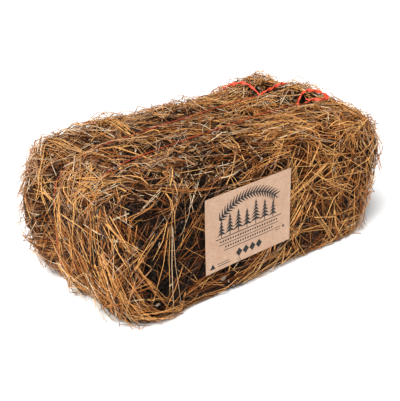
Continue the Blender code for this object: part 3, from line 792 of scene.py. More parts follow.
def anywhere(at, out):
    """Few underneath and across the fans, and most on the top and the right end."""
    x, y = at.T[:2]
    tousled = (out[:, 2] > 0.5) | (x > 0.25)
    combed = (out[:, 2] < -0.7) | on_fans(x, y)
    return np.where(combed, 0.15, np.where(tousled, 1.8, 1.0))


def on_edges(at, out):
    """Most where two sides of the bale meet, and in the tufts."""
    turned = 1 - np.abs(out).max(1)
    weight = 0.02 + rising(turned, 0.05, EDGE_TURN)
    for tuft in TUFTS:
        weight += 1.5 * np.exp(-((at - tuft) ** 2).sum(1) / TUFT_REACH**2)
    return np.where(at[:, 2] < 0.03, 0.05, weight)


def on_brows(at, out):
    """The top and its edges, most along the back edge and fewest at the left end."""
    x, y, z = at.T
    turned = 1 - np.abs(out).max(1)
    edge = rising(turned, 0.03, EDGE_TURN) * (1.0 + 2.0 * (y > 0.15))
    return np.where(z > 0.30, 0.25 + edge, 0) * np.where(x < -0.34, 0.3, 1.0)


def on_top(at, out):
    """Most on the top."""
    return np.where(out[:, 2] > 0.6, 1.0, 0.15)


# ---------------------------------------------------------------- needles


def spline_weights(places, steps):
    """Weights that turn steps + 1 points of a march into a smooth line at these shares."""
    weights = np.zeros((len(places), steps + 1))
    for row, share in zip(weights, places):
        k = min(int(share * steps), steps - 1)
        t = share * steps - k
        for shift, value in (
            (-1, -t + 2 * t**2 - t**3),
            (0, 2 - 5 * t**2 + 3 * t**3),
            (1, t + 4 * t**2 - 3 * t**3),
            (2, -(t**2) + t**3),
        ):
            row[min(max(k + shift, 0), steps)] += value / 2
    return weights


def march(skin, start, heading, length, depth, hug, curl):
    """Lines that follow the skin from start: (steps + 1, n, 3) points and ways out.

    depth is (steps + 1, n) under the skin; hug is how much of a line's error in depth each
    step mends, so a low one is a stiff needle; curl is its bend in the skin's plane, 1/m,
    one for each line or one for each step of each."""
    steps = len(depth) - 1
    curl = np.broadcast_to(curl, (steps, len(start)))
    near, out = skin.nearest(start)
    at = near - out * depth[0][:, None]
    stride = (length / steps)[:, None]
    points, outs = [at], [out]
    for k in range(steps):
        turned = unit(heading + np.cross(out, heading) * curl[k][:, None] * stride)
        ahead = at + turned * stride
        near, out = skin.nearest(ahead)
        height = dot(ahead - near, out)
        ahead = ahead + out * hug[:, None] * (-depth[k + 1][:, None] - height)
        height = np.maximum(dot(ahead - near, out), 0)
        limit = dot(np.abs(out), OUTSIDE_LIMIT)
        ahead = ahead + out * (limit * np.tanh(height / limit) - height)
        heading = unit(ahead - at)
        at = at + heading * stride
        points.append(at)
        outs.append(out)
    return np.array(points), np.array(outs)


def card_push(samples):
    """How far each sample has to move back to leave the card free. Beside the card the
    needles come forward again, on a slope."""
    lean = math.radians(CARD_LEAN)
    x = samples[..., 0] - (CARD_LEFT + CARD_WIDTH / 2)
    z = samples[..., 2] - (CARD_FOOT + CARD_HEIGHT / 2)
    across = np.abs(x * math.cos(lean) + z * math.sin(lean)) - CARD_WIDTH / 2
    up = np.abs(z * math.cos(lean) - x * math.sin(lean)) - CARD_HEIGHT / 2
    beside = np.hypot(np.maximum(across, 0), np.maximum(up, 0))
    front = CARD_BACK_Y + CLEARANCE - CARD_SLOPE * np.maximum(beside - CARD_MARGIN, 0)
    near = (samples[..., 1] < 0) & (beside < 0.03)
    push = np.zeros_like(samples)
    push[..., 1] = np.where(near, np.maximum(front - samples[..., 1], 0), 0)
    return push


def tie_push(samples, lot):
    """How far each sample has to move in to pass under the ties. A few needles don't, by
    lot, and none does where the straw has swelled over a tie."""
    push = np.zeros_like(samples)
    x, y, z = np.moveaxis(samples, -1, 0)
    reach = tie_reach(x, z)
    for side in TIE_PLANES:
        aside = np.abs(y - tie_plane(side, x)) / TIE_FURROW
        lift = FURROW_RISE * aside**2 - FURROW_DEPTH
        limit = 1 + lift / np.hypot(x, z - TIE_MIDDLE)
        swelled = (x < SWELLED_LEFT) & (side == "front") | (x > SWELLED_RIGHT) & (z > SWELLED_TOP)
        under = (aside < 1) & (lot < TIE_SHARE) & (reach > limit) & ~swelled
        pull = np.where(under, limit / reach - 1, 0)
        push[..., 0] += pull * x
        push[..., 2] += pull * (z - TIE_MIDDLE)
    return push


def floor_push(samples):
    """How far each sample has to move up to clear the floor."""
    push = np.zeros_like(samples)
    push[..., 2] = np.maximum(CLEARANCE - samples[..., 2], 0)
    return push


def make_room(points, lot):
    """Bends the lines so that they leave the card free, pass under the ties and stay off
    the floor. A push carries on to the points beside it."""
    steps = len(points) - 1
    places = np.linspace(0, 1, LOOKS * steps + 1)
    weights = spline_weights(places, steps)
    for _ in range(ROOM_ROUNDS):
        samples = np.einsum("sk,knd->snd", weights, points)
        push = card_push(samples) + tie_push(samples, lot) + floor_push(samples)
        size = np.linalg.norm(push, axis=-1)
        for k in range(steps + 1):
            share = np.clip(1.15 - np.abs(places * steps - k) / PUSH_REACH, 0, 1)
            best = (size * share[:, None]).argmax(0)
            chosen = push[best, np.arange(points.shape[1])]
            points[k] += chosen * share[best][:, None]
    return points


def needle_piece(name, needles, material, rings):
    """One piece of many needles, each a three-sided tapered rod with pointed ends."""
    places, girths = np.array(rings).T
    weights = spline_weights(places, len(needles["line"]) - 1)
    at = np.einsum("sk,knd->snd", weights, needles["line"])
    out = unit(np.einsum("sk,knd->snd", np.abs(weights), needles["out"]))
    count, last = at.shape[1], len(places) - 1
    along = unit(np.concatenate((at[1:2] - at[:1], at[2:] - at[:-2], at[-1:] - at[-2:-1])))
    side = unit(np.cross(out, along) + 1e-6)
    top = unit(np.cross(along, side))
    spin = np.arange(count) * 2.4  # no two alike
    vertices = [at[0][:, None]]
    for k in range(1, last):
        girth = (needles["radius"] * girths[k])[:, None]
        for turn in (0, 2 * math.pi / 3, 4 * math.pi / 3):
            angle = (spin + turn)[:, None]
            ring = at[k] + girth * (np.cos(angle) * side[k] + np.sin(angle) * top[k])
            vertices.append(ring[:, None])
    vertices = np.concatenate((*vertices, at[-1][:, None]), 1)  # (count, corners, 3)

    def corner(k, s):
        return 1 + 3 * (k - 1) + s % 3

    faces, maps = [], []
    for s in range(3):
        faces.append((0, corner(1, s + 1), corner(1, s)))
        maps.append(((0.5, 0), (0.8, 1), (0.2, 1)))
        for k in range(1, last - 1):
            a, b = corner(k, s), corner(k, s + 1)
            c, d = corner(k + 1, s + 1), corner(k + 1, s)
            faces += [(a, b, c), (a, c, d)]
            maps += [((0.2, k), (0.8, k), (0.8, k + 1)), ((0.2, k), (0.8, k + 1), (0.2, k + 1))]
        faces.append((corner(last - 1, s), corner(last - 1, s + 1), 3 * last - 2))
        maps.append(((0.2, last - 1), (0.8, last - 1), (0.5, last)))
    faces, maps = np.array(faces), np.array(maps)
    column = np.clip(np.round(needles["tone"] * (TONES - 1)), 0, TONES - 1)
    column += TONES * needles["dull"]
    all_maps = np.empty((count, *maps.shape))
    all_maps[..., 0] = (column[:, None, None] + maps[None, ..., 0]) / (2 * TONES)
    all_maps[..., 1] = places[maps[..., 1].astype(int)][None]
    all_faces = copied_faces(faces, count, vertices.shape[1])
    piece = mesh_object(
        name, vertices.reshape(-1, 3), all_faces, material, all_maps.reshape(-1, 2)
    )
    place_piece(piece, "pine_straw")


def straw_way(at, out, dice):
    """The way the straw runs at each of these points, and its region's bends, lightness, which
    holds some painted shade, and share of dull needles."""
    middles, ways, strays, *facts, draws = (np.array(column) for column in zip(*STRAW_FLOW))
    far = np.linalg.norm(at[:, None] - middles, axis=2)
    pull = draws * np.exp(-((far / FLOW_REACH) ** 2) / 2) + 1e-9
    # The last region is the whole underside.
    pull[:, -1] = np.where(out[:, 2] < -0.6, 50.0, 0.0)
    pull /= pull.sum(1, keepdims=True)
    picked = (pull.cumsum(1) > dice.random((len(at), 1))).argmax(1)
    way = unit(ways[picked] - dot(ways[picked], out) * out + 1e-4)
    stray = np.radians(strays[picked]) * dice.standard_normal(len(at))
    return turned_way(way, out, stray), *(fact[picked] for fact in facts)


def turned_way(way, out, angle):
    """Ways turned on the skin by so many radians."""
    return way * np.cos(angle)[:, None] + np.cross(out, way) * np.sin(angle)[:, None]


def turn_round(needles, chosen):
    """Lets these needles run the other way, from tip to sheath."""
    for key in ("line", "out"):
        needles[key][:, chosen] = needles[key][::-1, chosen]


def crimped(curl, bend, dice):
    """Bends that come and go along a needle, in proportion to the region's own, for each
    step of a march."""
    shares = np.arange(0.5, MARCH_STEPS)[:, None] / MARCH_STEPS
    turns = shares * dice.uniform(0.4, 1.1, len(curl)) + dice.random(len(curl))
    wave = np.sin(2 * math.pi * turns)
    return curl + (1.4 + bend) * dice.uniform(0.3, 2.4, len(curl)) * wave


def sheathed(skin, straw, dice, start, heading, out, length, depth, hug, curl, tone, dull):
    """Needles that grow singly or in twos from one sheath and part a little towards their
    tips. All but the first three have a value for each sheath; depth and curl have a row of
    them for each step."""
    sheaf = np.repeat(np.arange(len(start)), dice.integers(1, 3, len(start)))
    n = len(sheaf)
    line, outs = march(
        skin,
        start[sheaf] + SHEATH_WIDTH * dice.standard_normal((n, 3)),
        turned_way(heading[sheaf], out[sheaf], SHEATH_PARTING * dice.standard_normal(n)),
        length[sheaf] * dice.uniform(*SHEATH_LENGTHS, n),
        depth[:, sheaf] + 0.0005 * dice.standard_normal(n),
        hug[sheaf],
        curl[:, sheaf] + 0.35 * dice.standard_normal(n),
    )
    return {
        "line": line,
        "out": outs,
        "radius": straw.needle_radius * dice.uniform(*GIRTHS, n),
        "tone": tone[sheaf] + 0.06 * dice.standard_normal(n),
        "dull": dull[sheaf],
        "sheaf": sheaf,
    }


def bundled_needles(skin, straw, dice):
    """Needles in bundles that lie as combed."""
    count = straw.bundles
    at, out = skin.scatter(count, dice, all_round)
    way, bend, light, dull = straw_way(at, out, dice)
    sunk = dice.random(count) ** 0.50  # 0 for the outermost bundles, 1 for the deepest
    stray = OUTER_STRAY * (1 - sunk) ** 2 * dice.standard_normal(count)
    way = turned_way(way, out, stray)
    curl = bend * dice.standard_normal(count)
    # The outermost bundles are thin, so the deeper ones, darkened as painted shade, and the dark
    # between them show through.
    sheaves = dice.uniform(*OUTER_SHEAVES, count) + DEEPER_SHEAVES * sunk
    sheaves = np.round(sheaves).astype(int)
    light = light + 0.09 * dice.standard_normal(count)

    middles, ways, *bold = (np.array(column) for column in zip(*BOLD_BUNDLES))
    near, bold_out = skin.nearest(middles)
    at = np.concatenate((at, near))
    way = np.concatenate((way, unit(ways - dot(ways, bold_out) * bold_out)))
    sheaves, width, length, curl, light, bend, sunk, dull = (
        np.append(np.broadcast_to(one, (count,)), np.broadcast_to(other, (len(middles),)))
        for one, other in (
            (sheaves, bold[0]),
            (straw.bundle_width, bold[1]),
            (straw.needle_length, bold[2]),
            (curl, bold[3]),
            (light, bold[4]),
            (bend, BOLD_CRIMP),
            (sunk, BOLD_DEPTH),
            (dull, BOLD_DULL),
        )
    )
    count += len(middles)

    # From its middle each bundle is followed back to where it starts.
    flat, hug = np.zeros((5, count)), np.full(count, 0.7)
    back = march(skin, at, -way, length * BACK_SHARE, flat, hug, -curl * 0.6)[0]
    start, heading = back[-1], unit(back[-2] - back[-1])
    out = skin.nearest(start)[1]
    across = np.cross(out, heading)

    owner = np.repeat(np.arange(count), sheaves)
    n = len(owner)
    # Side by side with even gaps, as combed.
    rank = np.arange(n) - (np.cumsum(sheaves) - sheaves)[owner]
    aside = (rank + dice.uniform(0.2, 0.8, n)) / sheaves[owner] - 0.5
    along = dice.uniform(-0.5, 0.5, n) * np.where(owner < straw.bundles, 0.10, 0.04)
    depth = straw.layer_depth * sunk[owner] + OUTERMOST + dice.uniform(0, DEPTH_SPREAD, n)
    shares = np.linspace(0, 1, MARCH_STEPS + 1)[:, None]
    wave = dice.uniform(*WAVE, n) * np.sin(
        2 * math.pi * (shares * dice.uniform(*WAVES, n) + dice.random(n))
    )
    loose = (dice.random(n) < LOOSE_SHARE) & (depth < 0.003)
    loose = loose * dice.uniform(*LOOSE_RISE, n) * shares**3
    # How deep each needle lies in the layer: deeper ones are stiffer, and their tone is darkened
    # with depth as painted shade.
    buried = rising(depth, -0.001, FULL_SHADE_DEPTH)
    # Bold bundles fan out less than the others do where the straw is tousled.
    spread = np.where(owner < straw.bundles, 1 + 0.15 * np.clip(bend[owner] - 2, 0, 6), 0.45)
    hug = dice.uniform(*HUG, n)
    offset = across[owner] * (aside * width[owner])[:, None] + heading[owner] * along[:, None]
    fan = np.radians((9 * aside + 6.0 * dice.standard_normal(n)) * spread)
    needles = sheathed(
        skin, straw, dice,
        start[owner] + offset,
        turned_way(heading[owner], out[owner], fan),
        out[owner],
        length[owner] * dice.uniform(*NEEDLE_SHARES, n),
        depth + wave - loose,
        hug + (0.95 - hug) * np.clip(2 * buried, 0, 1),
        crimped(curl[owner] * 0.6 + 0.8 * spread * dice.standard_t(3, n), bend[owner], dice),
        LIGHT + light[owner] + LIGHT_SPREAD * dice.standard_normal(n)
        - (PAINTED_DEPTH_SHADE - light[owner]) * buried,
        dice.random(n) < dull[owner],
    )
    turn_round(needles, dice.random(count)[owner[needles.pop("sheaf")]] < BUNDLED_ROUND)
    return needles


def loose_needles(skin, straw, dice, liking, count, length, swing, rise, hug):
    """Sheaves that lie by themselves: of these lengths in metres, turned and raised by these
    degrees."""
    at, out = skin.scatter(count, dice, liking)
    way, bend, light, dull = straw_way(at, out, dice)
    way = turned_way(way, out, np.radians(swing) * dice.standard_normal(count))
    way *= dice.choice((-1, 1), (count, 1))
    raised = np.radians(dice.uniform(*rise, count))
    needles = sheathed(
        skin, straw, dice,
        at, unit(way + out * np.tan(raised)[:, None]), out,
        dice.uniform(*length, count),
        np.repeat(dice.uniform(-0.004, 0.006, count)[None], MARCH_STEPS + 1, 0),
        dice.uniform(*hug, count),
        crimped((bend + 1.5) * 0.6 * dice.standard_t(3, count), bend, dice),
        0.70 + light + 0.22 * dice.standard_normal(count),
        dice.random(count) < dull,
    )
    turn_round(needles, dice.random(count)[needles.pop("sheaf")] < LOOSE_ROUND)
    # Few of them lie over the ties.
    over = np.linalg.norm(tie_push(needles["line"], np.zeros((1, 1))), axis=-1).max(0) > 0.0005
    return picked_needles(needles, ~over | (dice.random(len(over)) < OVER_SHARE))


def fitted(needles, dice):
    """The needles bent clear of the card, ties and floor, and kept near the bale."""
    line = make_room(needles["line"], dice.random(needles["line"].shape[1])[None])
    line = np.clip(line, CAD_BOX[0] - NEEDLE_SPACE, CAD_BOX[1] + NEEDLE_SPACE)
    line[..., 2] = np.maximum(line[..., 2], NEEDLE_FLOOR)
    return {**needles, "line": line}


def picked_needles(needles, chosen):
    return {
        key: value[:, chosen] if key in ("line", "out") else value[chosen]
        for key, value in needles.items()
    }


def region_pieces(name, needles, material):
    """Needles of one region as pieces: the bent ones, with more rings, and the rest."""
    along = unit(np.diff(needles["line"], axis=0))
    bent = np.arccos(np.clip(dot(along[1:], along[:-1]), -1, 1)).sum(0)[:, 0] > BENT
    for kind, rings, chosen in (("bent", BENT_RINGS, bent), ("straight", STRAIGHT_RINGS, ~bent)):
        chosen = np.flatnonzero(chosen)
        pieces = math.ceil(len(chosen) * 6 * (len(rings) - 2) / MOST_TRIANGLES)
        for i, part in enumerate(np.array_split(chosen, pieces)):
            label = f"needles_{name}_{kind}_{i + 1}"
            needle_piece(label, picked_needles(needles, part), material, rings)


def grow_needles(straw):
    dice = np.random.default_rng(straw.seed)
    skin = Skin()
    material = dried_pine_needle(straw)
    needles = fitted(bundled_needles(skin, straw, dice), dice)
    out = needles["out"][MARCH_STEPS // 2]
    axis = np.abs(out).argmax(1)
    region = 2 * axis + (np.take_along_axis(out, axis[:, None], 1)[:, 0] > 0)
    for key, name in enumerate(("left_end", "right_end", "front", "back", "underside", "top")):
        region_pieces(name, picked_needles(needles, region == key), material)
    # Name, rings, where they lie, how many, lengths, swing and rise in degrees, and hug.
    for name, rings, *facts in (
        ("crossing", STRAIGHT_RINGS,
         anywhere, straw.strays, (0.08, 0.20), 35, (-2, 6), (0.15, 0.5)),
        ("bristling", BROKEN_RINGS,
         on_edges, straw.bristles, (0.030, 0.130), 24, (4, 48), (0.0, 0.04)),
        ("arching", BENT_RINGS,
         on_brows, straw.arches, (0.06, 0.15), 60, (25, 65), (0.10, 0.32)),
        ("broken", BROKEN_RINGS,
         on_top, straw.litter, (0.018, 0.075), 60, (-4, 12), (0.1, 0.5)),
    ):
        loose = fitted(loose_needles(skin, straw, dice, *facts), dice)
        needle_piece(f"needles_{name}", loose, material, rings)
    scatter_bark(skin, straw.chips, dice)


def scatter_bark(skin, count, dice):
    """Flakes of pine bark caught between the needles, each an uneven closed plate."""
    at, out = skin.scatter(count, dice, anywhere)
    size = dice.uniform(*FLAKE_HALVES, count)
    places, halves = zip(*LARGE_FLAKES)
    near, ways = skin.nearest(places)
    at, out, size = np.vstack((at, near)), np.vstack((out, ways)), np.append(size, halves)
    # None lies behind the card.
    beside = card_push(at + (0, -0.03, 0))[:, 1] == 0
    at, out, size = at[beside], out[beside], size[beside]
    count, sides = len(at), FLAKE_SIDES
    lean = unit(out + 0.45 * dice.standard_normal((count, 3)))
    long = unit(np.cross(lean, dice.standard_normal((count, 3))))
    wide = np.cross(lean, long)
    turn = 2 * math.pi * np.arange(sides) / sides
    stretch = dice.uniform(0.30, 0.65, count)[:, None]
    reach = size[:, None] * dice.uniform(0.65, 1.15, (count, sides))
    u, v = reach * np.cos(turn), reach * np.sin(turn) * stretch
    middle = at[:, None] - 0.002 * out[:, None]
    rim = middle + u[..., None] * long[:, None] + v[..., None] * wide[:, None]
    bulge = (0.10 * size)[:, None, None] * dice.uniform(0.2, 1.0, (count, sides, 1))
    thick = (0.06 * size + 0.0008)[:, None, None]
    upper = rim + (bulge + thick) * lean[:, None]
    lower = rim + (bulge - thick) * lean[:, None]
    crown = upper.mean(1, keepdims=True) + 0.5 * thick * lean[:, None]
    points = np.concatenate((upper, lower, crown, lower.mean(1, keepdims=True)), 1)
    k = np.arange(sides)
    j = (k + 1) % sides
    faces = triangles(
        (k, j, 2 * sides), (j + sides, k + sides, 2 * sides + 1),
        (k, k + sides, j + sides), (k, j + sides, j),
    )
    faces = copied_faces(faces, count, points.shape[1])
    points = points.reshape(-1, 3)
    points[:, 2] = np.maximum(points[:, 2], 0.001)
    place_piece(
        mesh_object("bark_flakes", points, faces, flaked_bark(), smooth=False), "pine_straw"
    )


# ---------------------------------------------------------------- twine


def line_frame(line, closed):
    """At each point of a line, the way along it and two ways across."""
    if closed:
        along = unit(np.roll(line, -1, 0) - np.roll(line, 1, 0))
    else:
        along = unit(np.gradient(line, axis=0))
    side = unit(np.cross(along, (0.137, 0.91, 0.39)))  # a way that no tie or end runs in
    return along, side, unit(np.cross(along, side))


def tube_piece(name, lines, radii, closed, sides, material, *nodes):
    """One piece of several tubes. A closed line has no ends; an open one ends in points."""
    vertices, faces = [], []
    base = 0
    for line, radius in zip(lines, radii):
        count = len(line)
        along, side, top = line_frame(line, closed)
        radius = np.broadcast_to(radius, (count,))
        for s in range(sides):
            angle = 2 * math.pi * s / sides
            across = math.cos(angle) * side + math.sin(angle) * top
            vertices.append(line + radius[:, None] * across)
        k = np.arange(count if closed else count - 1)
        after = (k + 1) % count
        for s in range(sides):
            a, b = base + s * count, base + (s + 1) % sides * count
            faces.append(triangles((a + k, b + k, b + after), (a + k, b + after, a + after)))
        if not closed:
            ends = line[0] - along[0] * radius[0], line[-1] + along[-1] * radius[-1]
            vertices.append(np.stack(ends))
            s = np.arange(sides)
            a, b = base + s * count, base + (s + 1) % sides * count
            tip = base + sides * count
            faces.append(triangles((b, a, tip), (a + count - 1, b + count - 1, tip + 1)))
        base += sides * count + (0 if closed else 2)
    piece = mesh_object(name, np.concatenate(vertices), np.concatenate(faces), material)
    place_piece(piece, "orange_twine", *nodes)


def tie_line(side, count):
    """Evenly spaced points round the bale on the taut tie's route."""
    aspect = TIE_HALF_HEIGHT / TIE_HALF_LENGTH
    turn = np.linspace(0, 2 * math.pi, 4000)
    x, z = np.cos(turn), aspect * np.sin(turn) * (1 + 0.9 * np.abs(np.cos(turn)))
    scale = 1 / tie_reach(x, TIE_MIDDLE + z)
    x, z = x * scale, z * scale
    way = np.concatenate(((0,), np.hypot(np.diff(x), np.diff(z)).cumsum()))
    even = np.linspace(0, way[-1], count, endpoint=False)
    x, z = np.interp(even, way, x), np.interp(even, way, z)
    return np.stack((x, tie_plane(side, x), TIE_MIDDLE + z), 1), way[-1]


def twisted(line, turns, spread, phase):
    """A strand that winds round the closed line so many times, at this distance from it."""
    side, top = line_frame(line, True)[1:]
    angle = (2 * math.pi * turns * (np.arange(len(line)) / len(line)) + phase)[:, None]
    return line + spread * (np.cos(angle) * side + np.sin(angle) * top)


def soft_route(places, spacing):
    """A smooth line through these places, with points this far apart."""
    places = np.asarray(places, float)
    shares = np.linspace(0, 1, 400)
    fine = spline_weights(shares, len(places) - 1) @ places
    way = np.concatenate(((0,), np.linalg.norm(np.diff(fine, axis=0), axis=1).cumsum()))
    even = np.linspace(0, way[-1], max(6, round(way[-1] / spacing)))
    return np.stack([np.interp(even, way, fine[:, i]) for i in range(3)], 1)


def knot_rings(middle):
    """The turns of a knot round its middle, of three strands each."""
    turn = np.linspace(0, 2 * math.pi, 18, endpoint=False)
    rings = []
    for along, tilt, size in KNOT_RINGS:
        lean, across = math.radians(tilt), size * np.cos(turn)
        x = along * math.cos(lean) - across * math.sin(lean)
        y = along * math.sin(lean) + across * math.cos(lean)
        ring = middle + np.stack((x, y, size * np.sin(turn)), 1)
        rings += [twisted(ring, 3, KNOT_STRAND_SPREAD, phase) for phase in STRAND_PHASES]
    return rings


def loose_end(route, film_width, dice):
    """The fibrils of a loose end, side by side along this route, and their radii. The film
    opens out from the knot, rolls over as it goes and is frayed at its end."""
    line = soft_route(route, FILM_STEP)
    n = len(line)
    share = np.linspace(0, 1, n)
    along = unit(np.gradient(line, axis=0))
    flat = unit(np.cross(along, (0, 0, 1.0)))
    over = unit(np.cross(flat, along))
    opening = rising(share, 0, FILM_OPENS) * film_width / 2 + 0.0008
    roll = (0.6 + share * n * FILM_STEP / FILM_ROLL * 2 * math.pi)[:, None]
    fray = rising(share, FRAY_FROM, 1 - FRAY_FROM) ** 1.5
    fibrils, radii = [], []
    for place in np.linspace(-1, 1, FIBRILS):
        drift = 0.0007 * np.sin(share * dice.uniform(15, 40) + dice.uniform(0, 6))
        aside = (place * opening * (1 + fray) + drift)[:, None]
        lift = (dice.uniform(-0.0009, 0.0009) + dice.uniform(-0.004, 0.006) * fray)[:, None]
        offset = aside * (np.cos(roll) * flat + np.sin(roll) * over) + lift * over
        kept = n - dice.integers(0, 4)
        fibrils.append((line + offset)[:kept])
        radii.append(dice.uniform(0.0010, 0.0015) * (1 - 0.45 * fray[:kept]))
    return fibrils, radii


def tie_twines(twine):
    dice = np.random.default_rng(5)
    taut = split_film_twine("split_film_twine_dusty", twine.taut, 0.75)
    fresh = split_film_twine("split_film_twine_clean", twine.fresh, 0.25)
    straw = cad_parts["straw_block"].data
    tree = BVHTree.FromPolygons(
        [vertex.co for vertex in straw.vertices], [face.vertices for face in straw.polygons]
    )
    for side in TIE_PLANES:
        name = f"twine_{side}"
        line, length = tie_line(side, 760)
        turns = round(length / twine.lay)
        strands = [twisted(line, turns, STRAND_SPREAD, phase) for phase in STRAND_PHASES]
        tube_piece(f"{name}_loop", strands, [STRAND_RADIUS] * 3, True, 4, taut, name)

        x = KNOT_X[side]
        knot = np.array((x, tie_plane(side, x), tie_top(x) + KNOT_RISE))
        rings = knot_rings(knot)
        tube_piece(f"{name}_knot", rings, [KNOT_STRAND_RADIUS] * len(rings), True, 5, fresh)

        fibrils, radii = [], []
        for places in LOOSE_ENDS[side]:
            route = [knot]
            for px, py, lift in places:
                hit = tree.ray_cast(Vector((px, py, 2 * BALE_HEIGHT)), Vector((0, 0, -1)))[0]
                route.append(np.array(hit) + (0, 0, lift + LOOSE_END_RISE))
            more, their_radii = loose_end(route, twine.film_width, dice)
            fibrils += more
            radii += their_radii
        tube_piece(f"{name}_loose_ends", fibrils, radii, False, 4, fresh)


# ---------------------------------------------------------------- card


def card_place(x, z, forward):
    """Metres on the card, from its lower left corner, turned to a place in the frame."""
    lean = math.radians(CARD_LEAN)
    x, z = np.asarray(x) - CARD_WIDTH / 2, np.asarray(z) - CARD_HEIGHT / 2
    return np.stack(
        (
            CARD_LEFT + CARD_WIDTH / 2 + x * math.cos(lean) - z * math.sin(lean),
            CARD_BACK_Y - forward + 0 * x,
            CARD_FOOT + CARD_HEIGHT / 2 + z * math.cos(lean) + x * math.sin(lean),
        ),
        -1,
    )


def card_bow(x, z, bow):
    """How far the card lifts at this place: its corners curl forward a little."""
    u, v = 2 * np.asarray(x) / CARD_WIDTH - 1, 2 * np.asarray(z) / CARD_HEIGHT - 1
    return bow * (np.abs(u) ** 3 * np.abs(v) ** 3 + 0.25 * (1 + np.sin(3.1 * u + 1.3 * v)))


def cut_card(card):
    across, up = 28, 20
    x, z = np.meshgrid(np.linspace(0, CARD_WIDTH, across + 1), np.linspace(0, CARD_HEIGHT, up + 1))
    lift = card_bow(x, z, card.bow)
    points = [card_place(x, z, lift + thick).reshape(-1, 3) for thick in (0, CARD_THICK)]
    n = len(points[0])
    index = np.arange(n).reshape(up + 1, across + 1)
    quads = index[:-1, :-1], index[:-1, 1:], index[1:, 1:], index[1:, :-1]
    a, b, c, d = (corner.ravel() for corner in quads)
    rim = np.concatenate((index[0], index[1:, -1], index[-1, -2::-1], index[-2:0:-1, 0]))
    after = np.roll(rim, -1)
    faces = triangles(
        (a, c, b), (a, d, c), (a + n, b + n, c + n), (a + n, c + n, d + n),
        (rim, after, after + n), (rim, after + n, rim + n),
    )
    piece = mesh_object(
        "kraft_card_sheet", np.concatenate(points), faces, kraft_board(card), smooth=False
    )
    place_piece(piece, "kraft_card", "card")


def ornament_shapes():
    """Outlines of the card's plain ornament in millimetres: a sprig bent into an arch, a
    stand of conifers, rules, and a row of lozenges."""
    shapes = []
    middle = 139.7  # half the card's width

    def stroke(x0, z0, x1, z1, thick, tip=1.0):
        way = np.array((x1 - x0, z1 - z0))
        side = np.array((-way[1], way[0])) / np.hypot(*way) * thick / 2
        a, b = np.array((x0, z0)), np.array((x1, z1))
        shapes.append([a - side, b - side * tip, b + side * tip, a + side])

    def lozenge(x, z, wide, high):
        shapes.append([(x - wide / 2, z), (x, z - high / 2), (x + wide / 2, z), (x, z + high / 2)])

    def ring(turn, radius):
        return middle + radius * math.sin(turn), 38 + radius * math.cos(turn)

    turns = np.radians(np.linspace(-46, 46, 24))
    for a, b in zip(turns, turns[1:]):
        stroke(*ring(a, 132), *ring(b, 132), 3.0)
    for turn in np.radians(np.linspace(-45, 39, 21)):
        stroke(*ring(turn, 133), *ring(turn + 0.085, 148), 6.2, 0.25)
        stroke(*ring(turn, 131), *ring(turn + 0.085, 119), 6.2, 0.25)
    foot = 84
    for x, tall, tiers in (
        (50, 46, 4), (77, 57, 5), (104, 60, 5), (132, 52, 4), (161, 68, 6), (191, 58, 5),
        (219, 46, 4),
    ):
        stroke(x, foot, x, foot + tall * 0.25, 2.6)
        for k in range(tiers):
            low = foot + tall * (0.12 + 0.80 * k / tiers)
            half = tall * 0.29 * (1 - k / (tiers + 0.6))
            high = low + tall * 0.86 / tiers * 1.25
            shapes.append([(x - half, low), (x, low + tall * 0.05), (x, high)])
            shapes.append([(x + half, low), (x, high), (x, low + tall * 0.05)])
    for z, half, thick in ((81.5, 108, 2.2), (64, 98, 1.7), (47, 82, 1.7)):
        stroke(middle - half, z, middle + half, z, thick)
    for z, half in ((72.5, 92), (55.5, 76)):
        for x in np.arange(middle - half, middle + half + 1, 8.0):
            lozenge(x, z, 6.4, 7.0)
    for x in np.linspace(-33, 33, 4):
        lozenge(middle + x, 26, 21, 23)
    shapes.append([(12, 9), (30, 9), (21, 23)])
    stroke(36, 11, 78, 11, 1.6)
    stroke(36, 17, 72, 17, 1.6)
    lozenge(256, 46, 9, 9)
    stroke(228, 42, 246, 42, 1.4)
    stroke(226, 48, 246, 48, 1.4)
    return shapes


def print_card(card):
    """The ornament as a skin of ink, each shape a thin closed plate half sunk in the card."""
    vertices, faces, base = [], [], 0
    for shape in ornament_shapes():
        x, z = np.array(shape, float).T / 1000
        if (x * np.roll(z, -1) - np.roll(x, -1) * z).sum() < 0:
            x, z = x[::-1], z[::-1]
        lift = card_bow(x, z, card.bow) + CARD_THICK
        n = len(x)
        vertices += [card_place(x, z, lift - INK_SUNK), card_place(x, z, lift + INK_PROUD)]
        i = np.arange(1, n - 1)
        faces.append(base + triangles((0, i + 1, i), (n, n + i, n + i + 1)))
        for i in range(n):
            j = (i + 1) % n
            faces.append(base + np.array(((i, j, n + j), (i, n + j, n + i))))
        base += 2 * n
    piece = mesh_object(
        "card_print", np.concatenate(vertices), np.concatenate(faces), printed_ink(card),
        smooth=False,
    )
    place_piece(piece, "kraft_card")


# ---------------------------------------------------------------- operators


